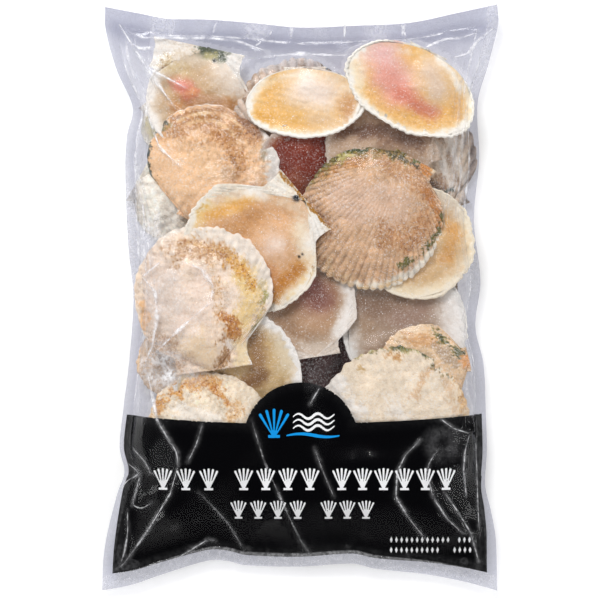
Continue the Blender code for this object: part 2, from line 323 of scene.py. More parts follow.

# What has grown or stained on each, and how its meat is coloured, with a few painted shadows, shades and
# highlights among them, marked where they stand: colour, strength, width in mm, raggedness in mm, and the
# path it follows, on the pouch.
STROKES = {
    "big_left": [
        ("#D9C8BB", 0.7, 20, 4, [(-86, 12), (-84, -12)]),
        ("#EEDACB", 0.75, 12, 3, [(-62, 10), (-58, -6), (-68, -16)]),
        ("#C0A68C", 0.7, 9, 3, [(-84, -28), (-74, -38)]),
        ("#EBD2B0", 0.75, 12, 3, [(-66, -28), (-58, -36)]),
        ("#C6A078", 0.75, 7, 3.5, [(-76, 27), (-64, 30), (-52, 28), (-46, 22)]),
        ("#CDA368", 0.65, 3.5, 3, [(-66, 34), (-54, 32), (-44, 27)]),
        ("#E8CB90", 0.85, 10, 2.5, [(-35, 14), (-30, 2), (-34, -12)]),
        ("#D6B48A", 0.5, 3.5, 3, [(-55, 20), (-51, 9), (-51, -8)]),
        ("#D6A552", 0.8, 4.5, 2.5, [(-43, 22), (-37, 17), (-32, 9)]),
        ("#F6E3D2", 0.85, 3.2, 1.5, [(-50, 17), (-40, 6), (-41, -3), (-46, -13)]),
        ("#C08540", 0.85, 5, 3, [(-44, -12), (-39, -19), (-38, -24)]),
        ("#B08A60", 0.75, 4, 3.5, [(-45, -27), (-48, -40)]),
        ("#EFE6E0", 0.85, 3, 1.5, [(-45, -28), (-42, -31)]),
        ("#F0DCB2", 0.8, 6, 1.5, [(-36, -28), (-36, -40)]),
        ("#FBF6EE", 0.9, 2.5, 1, [(-29, -21), (-29.5, -42)]),
        ("#B9A878", 0.5, 1.4, 2.0, [(-25, 8), (-22.5, 4), (-23, -5), (-26, -13)]),
        ("#8B8638", 0.6, 0.8, 1.4, [(-21, 8), (-20.5, 5), (-22, -4)]),
        ("#4A4A1E", 0.85, 1.0, 1.4, [(-23, -14), (-28, -18)]),
        ("#E0B486", 0.85, 3.2, 1.5, [(-96.5, -4), (-95.5, -21)]),
    ],
    "big_right": [
        ("#DCBFAC", 0.6, 20, 3, [(31, 60), (55, 57)]),
        # Painted shade down the fan's left side.
        ("#BE9876", 0.5, 8, 3, [(11, 51), (14, 39)]),
        ("#B98C62", 0.5, 7, 2, [(53, 82), (68, 76), (77, 64)]),
        ("#BA8B5F", 0.55, 9, 3, [(53, 39), (68, 36), (77, 45)]),
        ("#B57C3C", 0.55, 4, 2, [(15, 78), (31, 83), (40, 85)]),
        ("#A08A55", 0.8, 6, 3.0, [(6, 74), (16, 83), (27, 89), (43, 92), (62, 88)]),
        ("#6F6A2E", 0.85, 2.6, 2.6, [(8, 75), (18, 84), (30, 90), (46, 93), (62, 89)]),
        ("#D0C986", 0.85, 3.2, 1.5, [(24, 86), (31, 88)]),
        ("#39451F", 0.85, 1.2, 1.4, [(13, 82), (24, 90), (41, 91)]),
        ("#3D3A28", 0.75, 1.2, 1.4, [(52, 90), (63, 86), (72, 80)]),
        ("#AF733A", 0.75, 3, 1.5, [(77, 66), (85, 53), (87, 45)]),
        ("#5C5A26", 0.9, 1.0, 1.6, [(87, 50), (85, 40), (79, 30), (70, 23), (60, 19)]),
        ("#C99A5C", 0.5, 1.2, 0.8, [(31, 6), (47, 6), (62, 11)]),
        ("#CB8A48", 0.9, 6, 1.9, [(73, 86), (80, 80)]),
        ("#F6E6CC", 0.9, 2.6, 1, [(83, 80), (82, 77)]),
        ("#55632C", 0.8, 1.6, 1.6, [(69, 88), (75, 85), (79, 83)]),
        ("#D9BE9C", 0.8, 5, 2.5, [(8, 26), (18, 14), (31, 8)]),
    ],
    "middle": [
        ("#EDC98A", 0.8, 6, 2, [(-67, 45), (-56, 53), (-40, 57)]),
        ("#DDB055", 0.85, 4.5, 1.5, [(-71, 47), (-65, 53), (-59, 58)]),
        ("#C9955F", 0.6, 10, 3, [(-42, 40), (-28, 50)]),
        ("#DEA95E", 0.9, 4.5, 1.5, [(-57, 50), (-43, 55), (-28, 62)]),
        ("#FBF5EA", 0.9, 5, 1.5, [(-20, 72), (-12, 67)]),
        ("#F1D4BF", 0.85, 13, 2, [(-16, 32)]),
        # A painted highlight on the top of the adductor.
        ("#F8E6D8", 0.7, 6, 2, [(-14, 33)]),
        ("#BC8250", 0.7, 8, 2, [(-36, 26), (-26, 19), (-17, 12)]),
        ("#F2E4CC", 0.8, 8, 2, [(0, 42), (3, 29), (5, 22)]),
        ("#BC8038", 0.85, 6.5, 2, [(0, 18), (-9, 10), (-17, 1)]),
        ("#EED29C", 0.7, 4, 1.5, [(7, 15), (-6, 0)]),
        ("#FBF7F0", 0.9, 6, 1.5, [(-24, 64), (-30, 66)]),
        ("#FBF7F0", 0.9, 8, 1.5, [(10, 46), (8, 34)]),
        ("#A6752A", 0.95, 1.3, 0.6, [(-14, 79), (2, 61), (18, 43)]),
        ("#12141A", 1.0, 2.7, 0.7, [(-2.5, 61)]),
        ("#231D1A", 1.0, 1.0, 0.4, [(-0.6, 25.2)]),
        ("#231D1A", 1.0, 1.0, 0.4, [(1.6, 26.8)]),
    ],
    "top_right": [
        ("#F3E4C6", 0.8, 8, 2, [(34, 147), (37, 133)]),
        ("#E9BC78", 0.8, 6, 2, [(43, 127), (52, 118), (64, 111), (80, 107), (96, 110)]),
        ("#E4B9B6", 0.95, 18, 1.5, [(51, 149), (55, 140), (60, 132)]),
        ("#E39E8C", 0.8, 12, 1.5, [(54, 136), (61, 127)]),
        ("#CB7E68", 0.9, 7.5, 1.5, [(63, 125), (70, 120), (81, 115)]),
        ("#E0C9B4", 0.95, 14, 1.5, [(80, 139), (85, 128)]),
        ("#FBF6EE", 0.9, 3, 1, [(84, 149), (94, 139), (99, 130)]),
        ("#F3E3C8", 0.7, 7, 1.5, [(100, 140), (103, 130)]),
        ("#E3B676", 0.7, 6, 2, [(97, 122), (97, 114)]),
    ],
    "top_middle": [
        ("#F8E8DC", 0.95, 20, 1.5, [(4, 128), (14, 126)]),
        ("#E6B870", 0.8, 8, 1.5, [(-26, 118), (-14, 112), (0, 110)]),
        ("#DEA84E", 0.8, 5, 2, [(-26, 112), (-18, 108)]),
        ("#C8996C", 0.85, 8, 1.5, [(30, 120), (30, 112)]),
        ("#E6C8A4", 0.7, 7, 1.5, [(8, 110), (20, 108)]),
        ("#FBF0E4", 0.8, 8, 1.5, [(4, 134)]),
    ],
    "top_back": [
        ("#A78D74", 0.6, 1.2, 1.2, [(-36, 134), (-20, 142), (0, 145), (20, 141)]),
        ("#9A8068", 0.5, 1.0, 1.2, [(-34, 130), (-16, 138), (4, 141)]),
        ("#E6DEDA", 0.8, 5, 2, [(-24, 144), (0, 147), (22, 144)]),
        ("#8A6D52", 0.7, 3, 2.5, [(-37, 136), (-32, 128)]),
        ("#5F7682", 0.9, 2.6, 1.2, [(19, 143), (23, 142)]),
        ("#6B5E46", 0.8, 1.2, 1.5, [(14, 143), (30, 142)]),
    ],
    "left_high": [
        ("#B8875A", 0.5, 10, 3, [(-80, 102), (-66, 109), (-46, 108), (-30, 100)]),
        ("#EFC9A2", 0.75, 15, 3, [(-84, 88), (-76, 74), (-66, 62)]),
        ("#EBC7A0", 0.6, 9, 3, [(-62, 84), (-52, 72)]),
        ("#AE7C4A", 0.5, 7, 4, [(-50, 98), (-38, 88), (-38, 78)]),
        # Light and dark arcs along the growth rings: partly the rings' own banding, partly a painted
        # highlight and painted shade of their relief.
        ("#96673A", 0.7, 1.5, 0.9, [(-80, 109), (-69, 114), (-54, 117), (-42, 114), (-31, 107)]),
        ("#EED6B0", 0.6, 1.1, 0.6, [(-76, 109), (-66, 113), (-54, 114.5), (-43, 111), (-34, 104)]),
        ("#9E6E3C", 0.65, 1.1, 0.7, [(-76, 106), (-66, 110.5), (-54, 112), (-44, 108), (-36, 101)]),
        ("#EBD0A8", 0.55, 1.1, 0.6, [(-70, 107), (-62, 109.5), (-53, 109), (-45, 105), (-39, 98)]),
        ("#A67443", 0.6, 1.1, 0.7, [(-68, 104), (-60, 106.5), (-52, 106), (-45, 101), (-40, 95)]),
        ("#A67443", 0.45, 1.1, 0.9, [(-60, 102), (-52, 101), (-45, 96)]),
        ("#8C6C5C", 0.6, 4, 2, [(-36, 110), (-27, 102)]),
        ("#5A6058", 0.9, 2.4, 2.2, [(-82, 108), (-89, 104), (-93, 97), (-94.5, 88), (-93, 77), (-91, 70)]),
        ("#2F3C40", 0.85, 1.0, 1.2, [(-88, 105), (-93.5, 96), (-94.5, 88)]),
        ("#A99A66", 0.6, 1.6, 1.5, [(-80, 107), (-88, 102)]),
        ("#8A5C2D", 0.7, 1.8, 1.2, [(-42, 86), (-38, 80)]),
        ("#8E8066", 0.5, 2.0, 1.5, [(-22, 92), (-22, 84)]),
    ],
    "top_left": [
        ("#DCCDB8", 0.85, 8, 1.9, [(-74, 150), (-60, 149)]),
        ("#D3BE94", 0.7, 7, 2, [(-84, 144), (-72, 141)]),
        ("#EADFD4", 0.7, 12, 3, [(-48, 140), (-42, 129)]),
        ("#C1874C", 0.75, 8, 3, [(-76, 119), (-59, 122), (-40, 119)]),
        ("#DA7F6C", 0.9, 7, 2, [(-75, 132), (-68, 127)]),
        ("#F0B583", 0.85, 4.5, 1.5, [(-67, 127)]),
        ("#FDFAF5", 0.85, 8, 2, [(-42, 148), (-37, 141)]),
        ("#FBF7F1", 0.85, 7, 2.5, [(-88, 158), (-92, 142), (-94, 128)]),
        ("#F4EDE4", 0.7, 3, 2, [(-86, 156), (-70, 154)]),
        ("#4A5240", 0.95, 5.2, 1.5, [(-60, 153), (-54, 153), (-49, 149)]),
        ("#C2B98A", 0.95, 3.2, 1.2, [(-58, 150.5), (-53, 150)]),
        ("#14161C", 0.95, 1.8, 0.6, [(-53, 147)]),
    ],
    "top_left_small": [
        ("#B98F58", 0.6, 2, 1, [(-96, 140), (-98, 132)]),
        ("#D6C27E", 0.6, 6, 2, [(-88, 118), (-84, 110)]),
    ],
    "right_middle": [
        ("#D9A562", 0.8, 7, 2.5, [(91, 51), (96, 39), (90, 25)]),
        ("#EEDDBF", 0.85, 6, 2, [(59, 5), (78, 1), (93, 8)]),
        ("#D9CCBB", 0.8, 8, 2, [(90, 62), (97, 52)]),
        ("#CDA77C", 0.5, 8, 3, [(74, 20), (60, 14)]),
    ],
    "right_high": [
        ("#8C6A48", 0.7, 6, 3, [(80, 74), (90, 66)]),
        ("#EAE3DA", 0.8, 2.6, 1.0, [(90, 106), (97, 86), (103, 70)]),
        ("#EAE3DA", 0.8, 2.6, 1.0, [(81, 100), (88, 84), (94, 68)]),
        ("#7A5B3E", 0.6, 1.6, 1.0, [(86, 104), (93, 86), (99, 69)]),
        ("#6A4E34", 0.8, 3, 2.0, [(82, 68), (86, 66)]),
        ("#37433A", 0.9, 1.3, 0.8, [(82, 64), (94, 67)]),
    ],
    "behind_middle": [
        ("#D0B9A4", 0.8, 9, 3, [(42, 92), (30, 90), (22, 84)]),
        # Painted shadow: a dark band just below the lip of the scallop lying over it.
        ("#684937", 0.9, 7, 3, [(24, 104), (44, 103), (62, 100), (72, 97)]),
        ("#93796A", 0.6, 9, 4, [(56, 104), (66, 98)]),
        ("#C9B3A4", 0.6, 8, 3, [(13, 99), (6, 90)]),
    ],
    "dark_red": [
        ("#93583C", 0.7, 9, 3, [(-4, 72), (4, 66)]),
        ("#9E5A4E", 0.6, 8, 3, [(0, 96)]),
    ],
    "pale_yellow": [
        ("#DFD0B4", 0.8, 7, 2, [(-12, -30), (-9, -42)]),
        # Painted shadow beside big_left's ear, which stands high above this scallop.
        ("#8F6D48", 0.9, 8, 1.9, [(-29, -24), (-26, -36), (-27, -50)]),
        ("#7C5A3A", 0.85, 6, 1.9, [(-24, -48), (-34, -54)]),
    ],
    "mauve": [
        ("#8E6258", 0.85, 16, 1.9, [(-2, 8), (10, 0)]),
        ("#7C4F44", 0.8, 9, 1.9, [(9, 5), (13, -2)]),
        ("#9C6A66", 0.7, 7, 1.9, [(0, 10), (6, 9)]),
        ("#BC9A7C", 0.7, 10, 1.9, [(4, -16), (16, -16)]),
        ("#F0EBE6", 0.9, 8, 2, [(31, 4), (31, -8), (24, -22)]),
        ("#D3C6B8", 0.7, 9, 2, [(4, -32), (22, -30)]),
    ],
    "right_low": [
        ("#846A58", 0.85, 12, 1.9, [(40, -4), (60, -8)]),
        ("#9A8072", 0.8, 10, 1.9, [(64, -14), (76, -8)]),
        ("#A88E76", 0.8, 9, 1.9, [(42, -20)]),
        ("#F0ECE8", 0.95, 17, 3, [(99, -2), (96, -24)]),
    ],
    "behind_cream": [
        ("#EBD3B6", 0.7, 5, 2, [(60, -22), (74, -19)]),
        ("#C08A55", 0.55, 4, 1.9, [(64, -27), (76, -25), (86, -28)]),
        ("#6A6B38", 0.8, 2.4, 2.4, [(84, -22), (92, -29), (98, -34)]),
        ("#3E4426", 0.8, 1.0, 1.6, [(86, -24), (93, -30), (100, -35)]),
        ("#A08C78", 0.6, 5, 1.9, [(86, -32), (96, -40)]),
        ("#D9A06A", 0.9, 4.5, 1.5, [(101, -38), (106, -40)]),
        ("#F4E6D0", 0.85, 2, 1, [(108, -37), (108, -42)]),
    ],
    "cream_right": [
        ("#EFE0CB", 0.6, 40, 4, [(44, -50), (80, -60)]),
        ("#F7F2EC", 0.85, 12, 3, [(18, -52), (24, -64), (34, -78)]),
        ("#F4EFE9", 0.6, 6, 3, [(56, -67), (68, -77)]),
        ("#9C9658", 0.65, 2.4, 2.6, [(36, -34), (50, -30), (64, -29), (78, -33)]),
        ("#6E6E3C", 0.8, 1.3, 1.8, [(44, -32), (58, -30), (70, -30), (82, -35)]),
        ("#5C5F32", 0.8, 2.8, 2.6, [(84, -38), (92, -45)]),
        ("#3E4426", 0.8, 0.8, 1.4, [(58, -29.5), (70, -30), (90, -43)]),
        ("#C08F50", 0.7, 3.4, 2.0, [(56, -34), (61, -37)]),
        ("#B0884A", 0.6, 2.4, 1.5, [(38, -45)]),
        ("#D6AE78", 0.6, 8, 3, [(102, -52), (106, -70)]),
        ("#C99A6A", 0.45, 2.4, 1.8, [(80, -45), (71, -60)]),
        ("#C99A6A", 0.35, 3.0, 1.8, [(90, -52), (96, -68)]),
    ],
    "cream_left": [
        ("#DDA660", 0.75, 6, 3, [(-68, -54), (-53, -50)]),
        ("#CE9045", 0.75, 3.6, 2, [(-51, -58), (-46, -65)]),
        ("#D99E50", 0.75, 4.5, 2.5, [(-84, -62), (-76, -56)]),
        ("#D9A055", 0.6, 3, 2, [(-87, -68), (-93, -76)]),
        ("#DDB27C", 0.6, 4, 2.5, [(-37, -67), (-44, -75)]),
        ("#FAF5EE", 0.6, 8, 3, [(-72, -72), (-52, -78)]),
    ],
    "edge_ochre": [("#E2C09A", 0.8, 6, 1.9, [(-96, -28), (-92, -36)])],
}

# Where the meat stands up from its bowl: place on the pouch, radius and height in mm.
LUMPS = {
    "middle": [((-16, 32), 15, 5.0), ((-40, 46), 11, 2.0), ((-14, 8), 10, 2.4), ((-30, 58), 8, 1.8)],
    "top_right": [((81, 132), 15, 5.5), ((50, 140), 13, 3.0), ((64, 122), 9, 2.6)],
    "top_middle": [((6, 128), 17, 5.0)],
    "top_left": [((-46, 132), 14, 3.6), ((-71, 129), 7, 3.4), ((-84, 140), 8, 2.0)],
    "right_middle": [((74, 36), 14, 3.6), ((92, 38), 9, 2.4)],
    "mauve": [((10, -14), 12, 3.2), ((4, 4), 9, 2.8)],
    "pale_yellow": [((-30, -42), 15, 3.0)],
    "right_low": [((62, -18), 13, 3.4)],
    "dark_red": [((4, 80), 12, 3.4)],
    "behind_middle": [((40, 92), 12, 3.4)],
}

# The heap so far, as height fields over the pouch: level in coarse cells, for scallops to
# rest on, and the highest and lowest place in each square millimetre, for the films. The first
# scallops rest at FIRST_LEVEL, just clear of the back film.
CELL = 2.0
HALF_X = 130
HALF_Y = 190
FIRST_LEVEL = 1.2
# A scallop is tried at each tilt, and rests where few of its places sink into the heap. A
# steeper tilt has to bring it lower, by this many mm for each square degree.
TILTS = range(-21, 22, 3)
MOST_SUNK = 0.985
TILT_COST = 0.012
PLACES_TRIED = 1500
# The back film lies on the table, and no valve's outer side comes lower than this.
LOWEST = 0.25

level = np.full((int(2 * HALF_Y / CELL), int(2 * HALF_X / CELL)), FIRST_LEVEL)
crown = np.zeros((2 * HALF_Y, 2 * HALF_X))
sole = np.full((2 * HALF_Y, 2 * HALF_X), 99.0)


def smoothstep(low, high, value):
    """0 up to low and 1 from high on, with a smooth rise between them."""
    t = np.clip((value - low) / (high - low), 0.0, 1.0)
    return t * t * (3.0 - 2.0 * t)


def grid_piece(name, columns, rows):
    """A grid from -1 to 1 each way as a new piece, and its vertices' places as an array."""
    mesh = bmesh.new()
    bmesh.ops.create_grid(mesh, x_segments=columns, y_segments=rows, size=1.0)
    piece = new_piece(name, mesh)
    places = np.empty(len(piece.data.vertices) * 3, np.float32)
    piece.data.vertices.foreach_get("co", places)
    return piece, places.reshape(-1, 3).astype(float)


def set_places(piece, places_mm):
    """Moves a piece's vertices to the places given, in millimetres."""
    moved = np.ascontiguousarray(places_mm * MM, np.float32)
    piece.data.vertices.foreach_set("co", moved.ravel())
    piece.data.update()


def add_values(piece, name, values):
    """Stores one number for each vertex, or one colour for each, as a named attribute."""
    kind = "FLOAT" if values.ndim == 1 else "FLOAT_COLOR"
    attribute = piece.data.attributes.new(name, kind, "POINT")
    field = "value" if values.ndim == 1 else "color"
    attribute.data.foreach_set(field, np.ascontiguousarray(values, np.float32).ravel())


def distance_to_path(x, y, path):
    """Distance in millimetres from each place to a line through the path's points."""
    nearest = np.full(x.shape, 1e9)
    ends = list(zip(path, path[1:])) or [(path[0], path[0])]
    for (ax, ay), (bx, by) in ends:
        run = max((bx - ax) ** 2 + (by - ay) ** 2, 1e-9)
        t = np.clip(((x - ax) * (bx - ax) + (y - ay) * (by - ay)) / run, 0.0, 1.0)
        nearest = np.minimum(nearest, np.hypot(x - ax - t * (bx - ax), y - ay - t * (by - ay)))
    return nearest


def wander(x, y, size, seed):
    """Smooth random hills, of about the size given in mm, mostly between -1 and 1."""
    draw = np.random.default_rng(seed)
    total = np.zeros(np.shape(x))
    for _ in range(14):
        angle, phase = draw.uniform(0, math.tau, 2)
        length = size * draw.uniform(1.1, 2.6)
        total += np.sin(math.tau * (x * math.cos(angle) + y * math.sin(angle)) / length + phase)
    return total / 3.2


def valve_form(across, out, radius, ribs, ribbed, opening, ear_reach, relief, seed):
    """A valve lying outer side up, in mm about the fan's centre, with its beak towards +Y.

    across runs from -1 to 1 from ear to ear, and out from 0 at the beak to 1 at the margin.
    The fan opens to the angles given on the left and right of its axis, its ears reach the
    given shares of the radius along the hinge, and its ribs show towards the beak as plainly
    as ribbed says, from 0 to 1. Ribs and bumps are scaled by relief. Also returns each
    place's distance in from the margin, and the ribs' wave there.
    """
    opening = np.where(across < 0, *opening)
    side = np.abs(across)

    # The outline: an arc about the fan's centre, as seen from the beak, then each ear's edge.
    in_fan = side <= FAN_SHARE
    ear = np.clip((side - FAN_SHARE) / (1 - FAN_SHARE), 0, 1)
    fan = np.minimum(side / FAN_SHARE, 1.0)
    angle = opening * fan + (math.pi / 2 - opening) * ear
    sine = np.minimum(BEAK_REACH * np.sin(angle), 1.0)
    margin = radius * (BEAK_REACH * np.cos(angle) + np.sqrt(1 - sine**2))
    ear_reach = np.where(across < 0, *ear_reach)
    ear_margin = radius * ear_reach / np.sin(np.maximum(angle, opening))
    ear_margin = ear_margin * (1 - 0.06 * np.sin(math.pi * ear))
    reach = margin + (ear_margin - margin) * smoothstep(0, 0.16, ear)

    # The ribs, and a margin that they and wear have made uneven.
    wave = np.cos(math.pi * ribs * across / FAN_SHARE + 0.9 * wander(across * 60, 0, 12, seed + 4))
    reach = reach * (1 + 0.014 * wander(across * 60, 0, 14, seed))
    reach = reach * (1 + 0.006 * wander(across * 200, 0, 7, seed + 5))
    ragged = 0.008 * wander(across * 300, 0, 8, seed)
    reach = reach * (1 + np.where(in_fan, (0.002 + 0.004 * ribbed) * wave, ragged))
    out = np.clip(out, 0, 1) ** 0.85
    x = np.sign(across) * np.sin(angle) * reach * out
    y = BEAK_REACH * radius - np.cos(angle) * reach * out

    # The height: the dome, then the ribs, the growth rings, small bumps and the ears' swell.
    dome = (1 - out**2.4) ** 0.9 * (1 - fan**2.7) ** 0.85 * np.minimum(1.0, out / 0.24) ** 0.65
    z = DOME_SHARE * radius * dome
    growth = np.sin(math.tau * (out * 5.5 + 0.3 * wander(across * 40, out * 40, 30, seed + 1)))
    rib = RIB_HEIGHT * (ribbed * out**1.5 + 0.3 * out**7)
    rib = rib * (1 - 0.45 * smoothstep(0.88, 1, out))
    z = z + relief * np.where(in_fan, rib * wave, 0.0)
    z = z + relief * 0.3 * np.maximum(growth, 0) ** 3 * np.minimum(1, out * 2)
    z = z + relief * (0.35 * wander(x, y, 9, seed + 2) + 0.2 * wander(x, y, 3, seed + 3))
    z = z + relief * 2.4 * ear * (1 - ear) * out
    return np.stack([x, y, z], 1), (1 - out) * reach, wave


def meat_form(across, out, radius, opening, face_up, seed):
    """The frozen meat in a valve that lies outer side up, its free surface on the underside.

    across and out run from -1 to 1 over a square that is drawn to the fan's round shape.
    Also returns how far out each place lies, from 0 to 1.
    """
    opening = np.where(across < 0, *opening)

    # The outline: round, and cut off along the hinge by the two straight sides of the fan.
    square = np.maximum(np.abs(across), np.abs(out))
    turn = np.arctan2(out, across)
    towards = np.cos(opening) * np.abs(np.cos(turn)) + np.sin(opening) * np.sin(turn)
    straight = 1.06 * BEAK_REACH * np.sin(opening) / np.maximum(towards, 0.05)
    edge = (1 + straight**-9.0) ** (-1 / 9)
    edge = edge * (0.965 + 0.07 * smoothstep(0.5, 1, np.sin(turn)) if face_up else 0.86)
    reach = radius * square * edge * (1 + 0.012 * wander(np.cos(turn) * 20, np.sin(turn) * 20, 12, seed))
    x = reach * np.cos(turn)
    y = reach * np.sin(turn)

    # The height: dished towards the middle, and tucked under the valve's edge at the hinge.
    depth = MEAT_DEPTH * radius * (1 - square**2.6)
    at_hinge = smoothstep(0.3, 0.9, np.sin(turn))
    z = (-0.1 - 0.5 * at_hinge if face_up else 0.0) + depth - 0.5 * np.sin(math.pi * square) ** 2
    z = z + 0.35 * wander(x, y, 12, seed + 1) * (1 - square**4) + 0.1 * wander(x, y, 3.5, seed + 2)
    return np.stack([x, y, z], 1), square - 0.2 * at_hinge * smoothstep(0.8, 1.0, square)


def turned(places, heading, face_up, tilt_x, tilt_y):
    """Places with the beak turned to the heading, laid meat side up if asked, and tilted."""
    x, y, z = places.T
    if face_up:
        x, z = -x, -z
    turn, a, b = np.radians((heading - 90, tilt_x, tilt_y))
    x, y = x * np.cos(turn) - y * np.sin(turn), x * np.sin(turn) + y * np.cos(turn)
    y, z = y * np.cos(a) - z * np.sin(a), y * np.sin(a) + z * np.cos(a)
    x, z = x * np.cos(b) + z * np.sin(b), z * np.cos(b) - x * np.sin(b)
    return np.stack([x, y, z], 1)


def cells(x, y, size, field):
    """Rows and columns of a height field, whose cells have the size given, under places."""
    column = np.clip(((x + HALF_X) / size).astype(int), 0, field.shape[1] - 1)
    row = np.clip(((y + HALF_Y) / size).astype(int), 0, field.shape[0] - 1)
    return row, column


def settle(places, heading, face_up, centre):
    """The tilts and height at which a scallop comes to rest lowest on those below it."""
    best = None
    sample = places[:: max(1, len(places) // PLACES_TRIED)]
    for tilt_x in TILTS:
        for tilt_y in TILTS:
            x, y, z = turned(sample, heading, face_up, tilt_x, tilt_y).T
            under = level[cells(x + centre[0], y + centre[1], CELL, level)]
            lift = np.quantile(under - z, MOST_SUNK)
            cost = lift + TILT_COST * (tilt_x**2 + tilt_y**2)
            if best is None or cost < best[0]:
                best = (cost, tilt_x, tilt_y, lift)
    return best[1:]


def painted(ground, x, y, strokes, softness, seed):
    """sRGB colours of places from their ground colours, with each stroke laid over in turn,
    and how mottled each place is."""
    colours = np.array(ground)
    mottled = np.full(len(x), 0.30 - 0.18 * softness)
    cloud = 0.035 * wander(x, y, 11, seed) + 0.035 * wander(x, y, 2.8, seed + 9)
    colours *= 1 + (1 - 0.6 * softness) * cloud[:, None]
    for number, (colour, strength, width, ragged, path) in enumerate(strokes):
        rough = wander(x, y, 7, seed + number) + 0.7 * wander(x, y, 2.2, seed + number + 50)
        rough += 0.6 * (1 - softness) * wander(x, y, 1.0, seed + number + 90)
        gap = distance_to_path(x, y, path) + (0.7 - 0.3 * softness) * ragged * rough
        near, far = (0.4 - 0.35 * softness) * width, (1 + 0.2 * softness) * width
        share = strength * (1 - smoothstep(near, far, gap))
        colours += (srgb(colour) - colours) * share[:, None]
        dirt = 0.15 if ragged < 2 or srgb(colour).mean() > 0.74 else 1.0 - 0.6 * softness
        mottled += (dirt - mottled) * share
    grey = colours.mean(1, keepdims=True)
    return np.clip(grey + VIVID * (colours - grey), 0, 1), mottled


def lip_share(from_margin, x, y, lip, centre, seed):
    """How much of the pale lip shows at each place."""
    _, width, start, end = lip
    turn = np.degrees(np.arctan2(y - centre[1], x - centre[0]))
    middle, half = (start + end) / 2, (end - start) / 2
    off = np.abs((turn - middle + 180) % 360 - 180)
    edge = width * (1 - smoothstep(0.15 * half, 1.15 * half, off))
    edge = edge * (1 + 0.14 * wander(x, y, 8, seed) + 0.18 * wander(x, y, 2.4, seed + 1))
    return 1 - smoothstep(0.65 * edge, 1.15 * edge + 0.3, from_margin)


def frost(tree, paint, share, size_mm):
    """Rime on a painted surface: mottled as its alpha says, under white grains in drifts, with painted
    glints as sparse white points. Its grains are drawn several times coarser than rime's, which are too
    fine to show."""
    place = node(tree, "ShaderNodeTexCoord").outputs["Object"]
    mottle = node(
        tree,
        "ShaderNodeTexNoise",
        {"Vector": place, "Scale": 1 / (2.0 * MM), "Detail": 3.0, "Roughness": 0.6},
    )
    shade = node(
        tree,
        "ShaderNodeValToRGB",
        {"Fac": mottle.outputs["Fac"]},
        [(0.32, "#BB9068"), (0.48, "#EBDCCA"), (0.60, "#FFFFFF")],
    )
    mottled = node(
        tree,
        "ShaderNodeMix",
        {"Factor": paint.outputs["Alpha"], "A": paint.outputs["Color"], "B": shade.outputs["Color"]},
        data_type="RGBA",
        blend_type="MULTIPLY",
    )
    grains = node(
        tree, "ShaderNodeTexNoise", {"Vector": place, "Scale": 1 / (size_mm * MM), "Detail": 2.0}
    )
    drifts = node(tree, "ShaderNodeTexNoise", {"Vector": place, "Scale": 1 / (14 * MM), "Detail": 2.0})
    spots = node(
        tree, "ShaderNodeValToRGB", {"Fac": grains.outputs["Fac"]}, [(0.50, 0.0), (0.70, 1.0)]
    )
    cover = node(
        tree, "ShaderNodeValToRGB", {"Fac": drifts.outputs["Fac"]}, [(0.35, 0.3 * share), (0.65, share)]
    )
    amount = node(
        tree,
        "ShaderNodeMath",
        {0: spots.outputs["Color"], 1: cover.outputs["Color"]},
        operation="MULTIPLY",
    )
    grained = node(
        tree,
        "ShaderNodeMix",
        {"Factor": amount.outputs[0], "A": mottled.outputs["Result"], "B": linear("#F4F1EE")},
        data_type="RGBA",
    )
    # Painted glints: sparse points mixed to white in the colour, where the rime's crystals would catch the
    # light.
    points = node(tree, "ShaderNodeTexNoise", {"Vector": place, "Scale": 1 / (0.8 * MM), "Detail": 1.0})
    painted_glints = node(
        tree, "ShaderNodeValToRGB", {"Fac": points.outputs["Fac"]}, [(0.68, 0.0), (0.74, 0.75)]
    )
    mixed = node(
        tree,
        "ShaderNodeMix",
        {"Factor": painted_glints.outputs["Color"], "A": grained.outputs["Result"], "B": linear("#FFFFFF")},
        data_type="RGBA",
    )
    return mixed, grains, place


def rimed_shell():
    """Frozen calcite: matt, ribbed, with a coat of rime in white grains and painted glints."""
    material, tree = new_material("rimed_calcite_shell")
    paint = node(tree, "ShaderNodeAttribute", attribute_name="paint")
    mixed, grains, place = frost(tree, paint, 0.55, 1.2)
    specks = node(tree, "ShaderNodeTexNoise", {"Vector": place, "Scale": 1 / (1.3 * MM), "Detail": 2.0})
    dark = node(
        tree,
        "ShaderNodeValToRGB",
        {"Fac": specks.outputs["Fac"]},
        [(0.30, "#8A6A4C"), (0.39, "#FFFFFF")],
    )
    speckled = node(
        tree,
        "ShaderNodeMix",
        {"Factor": paint.outputs["Alpha"], "A": mixed.outputs["Result"], "B": dark.outputs["Color"]},
        data_type="RGBA",
        blend_type="MULTIPLY",
    )
    bump = node(
        tree, "ShaderNodeBump", {"Height": grains.outputs["Fac"], "Strength": 0.8, "Distance": 0.5 * MM}
    )
    surface = node(
        tree,
        "ShaderNodeBsdfPrincipled",
        {
            "Base Color": speckled.outputs["Result"],
            "Normal": bump.outputs["Normal"],
            "Roughness": 0.65,
            "Specular IOR Level": 0.3,
        },
    )
    node(tree, "ShaderNodeOutputMaterial", {"Surface": surface.outputs[0]})
    return material


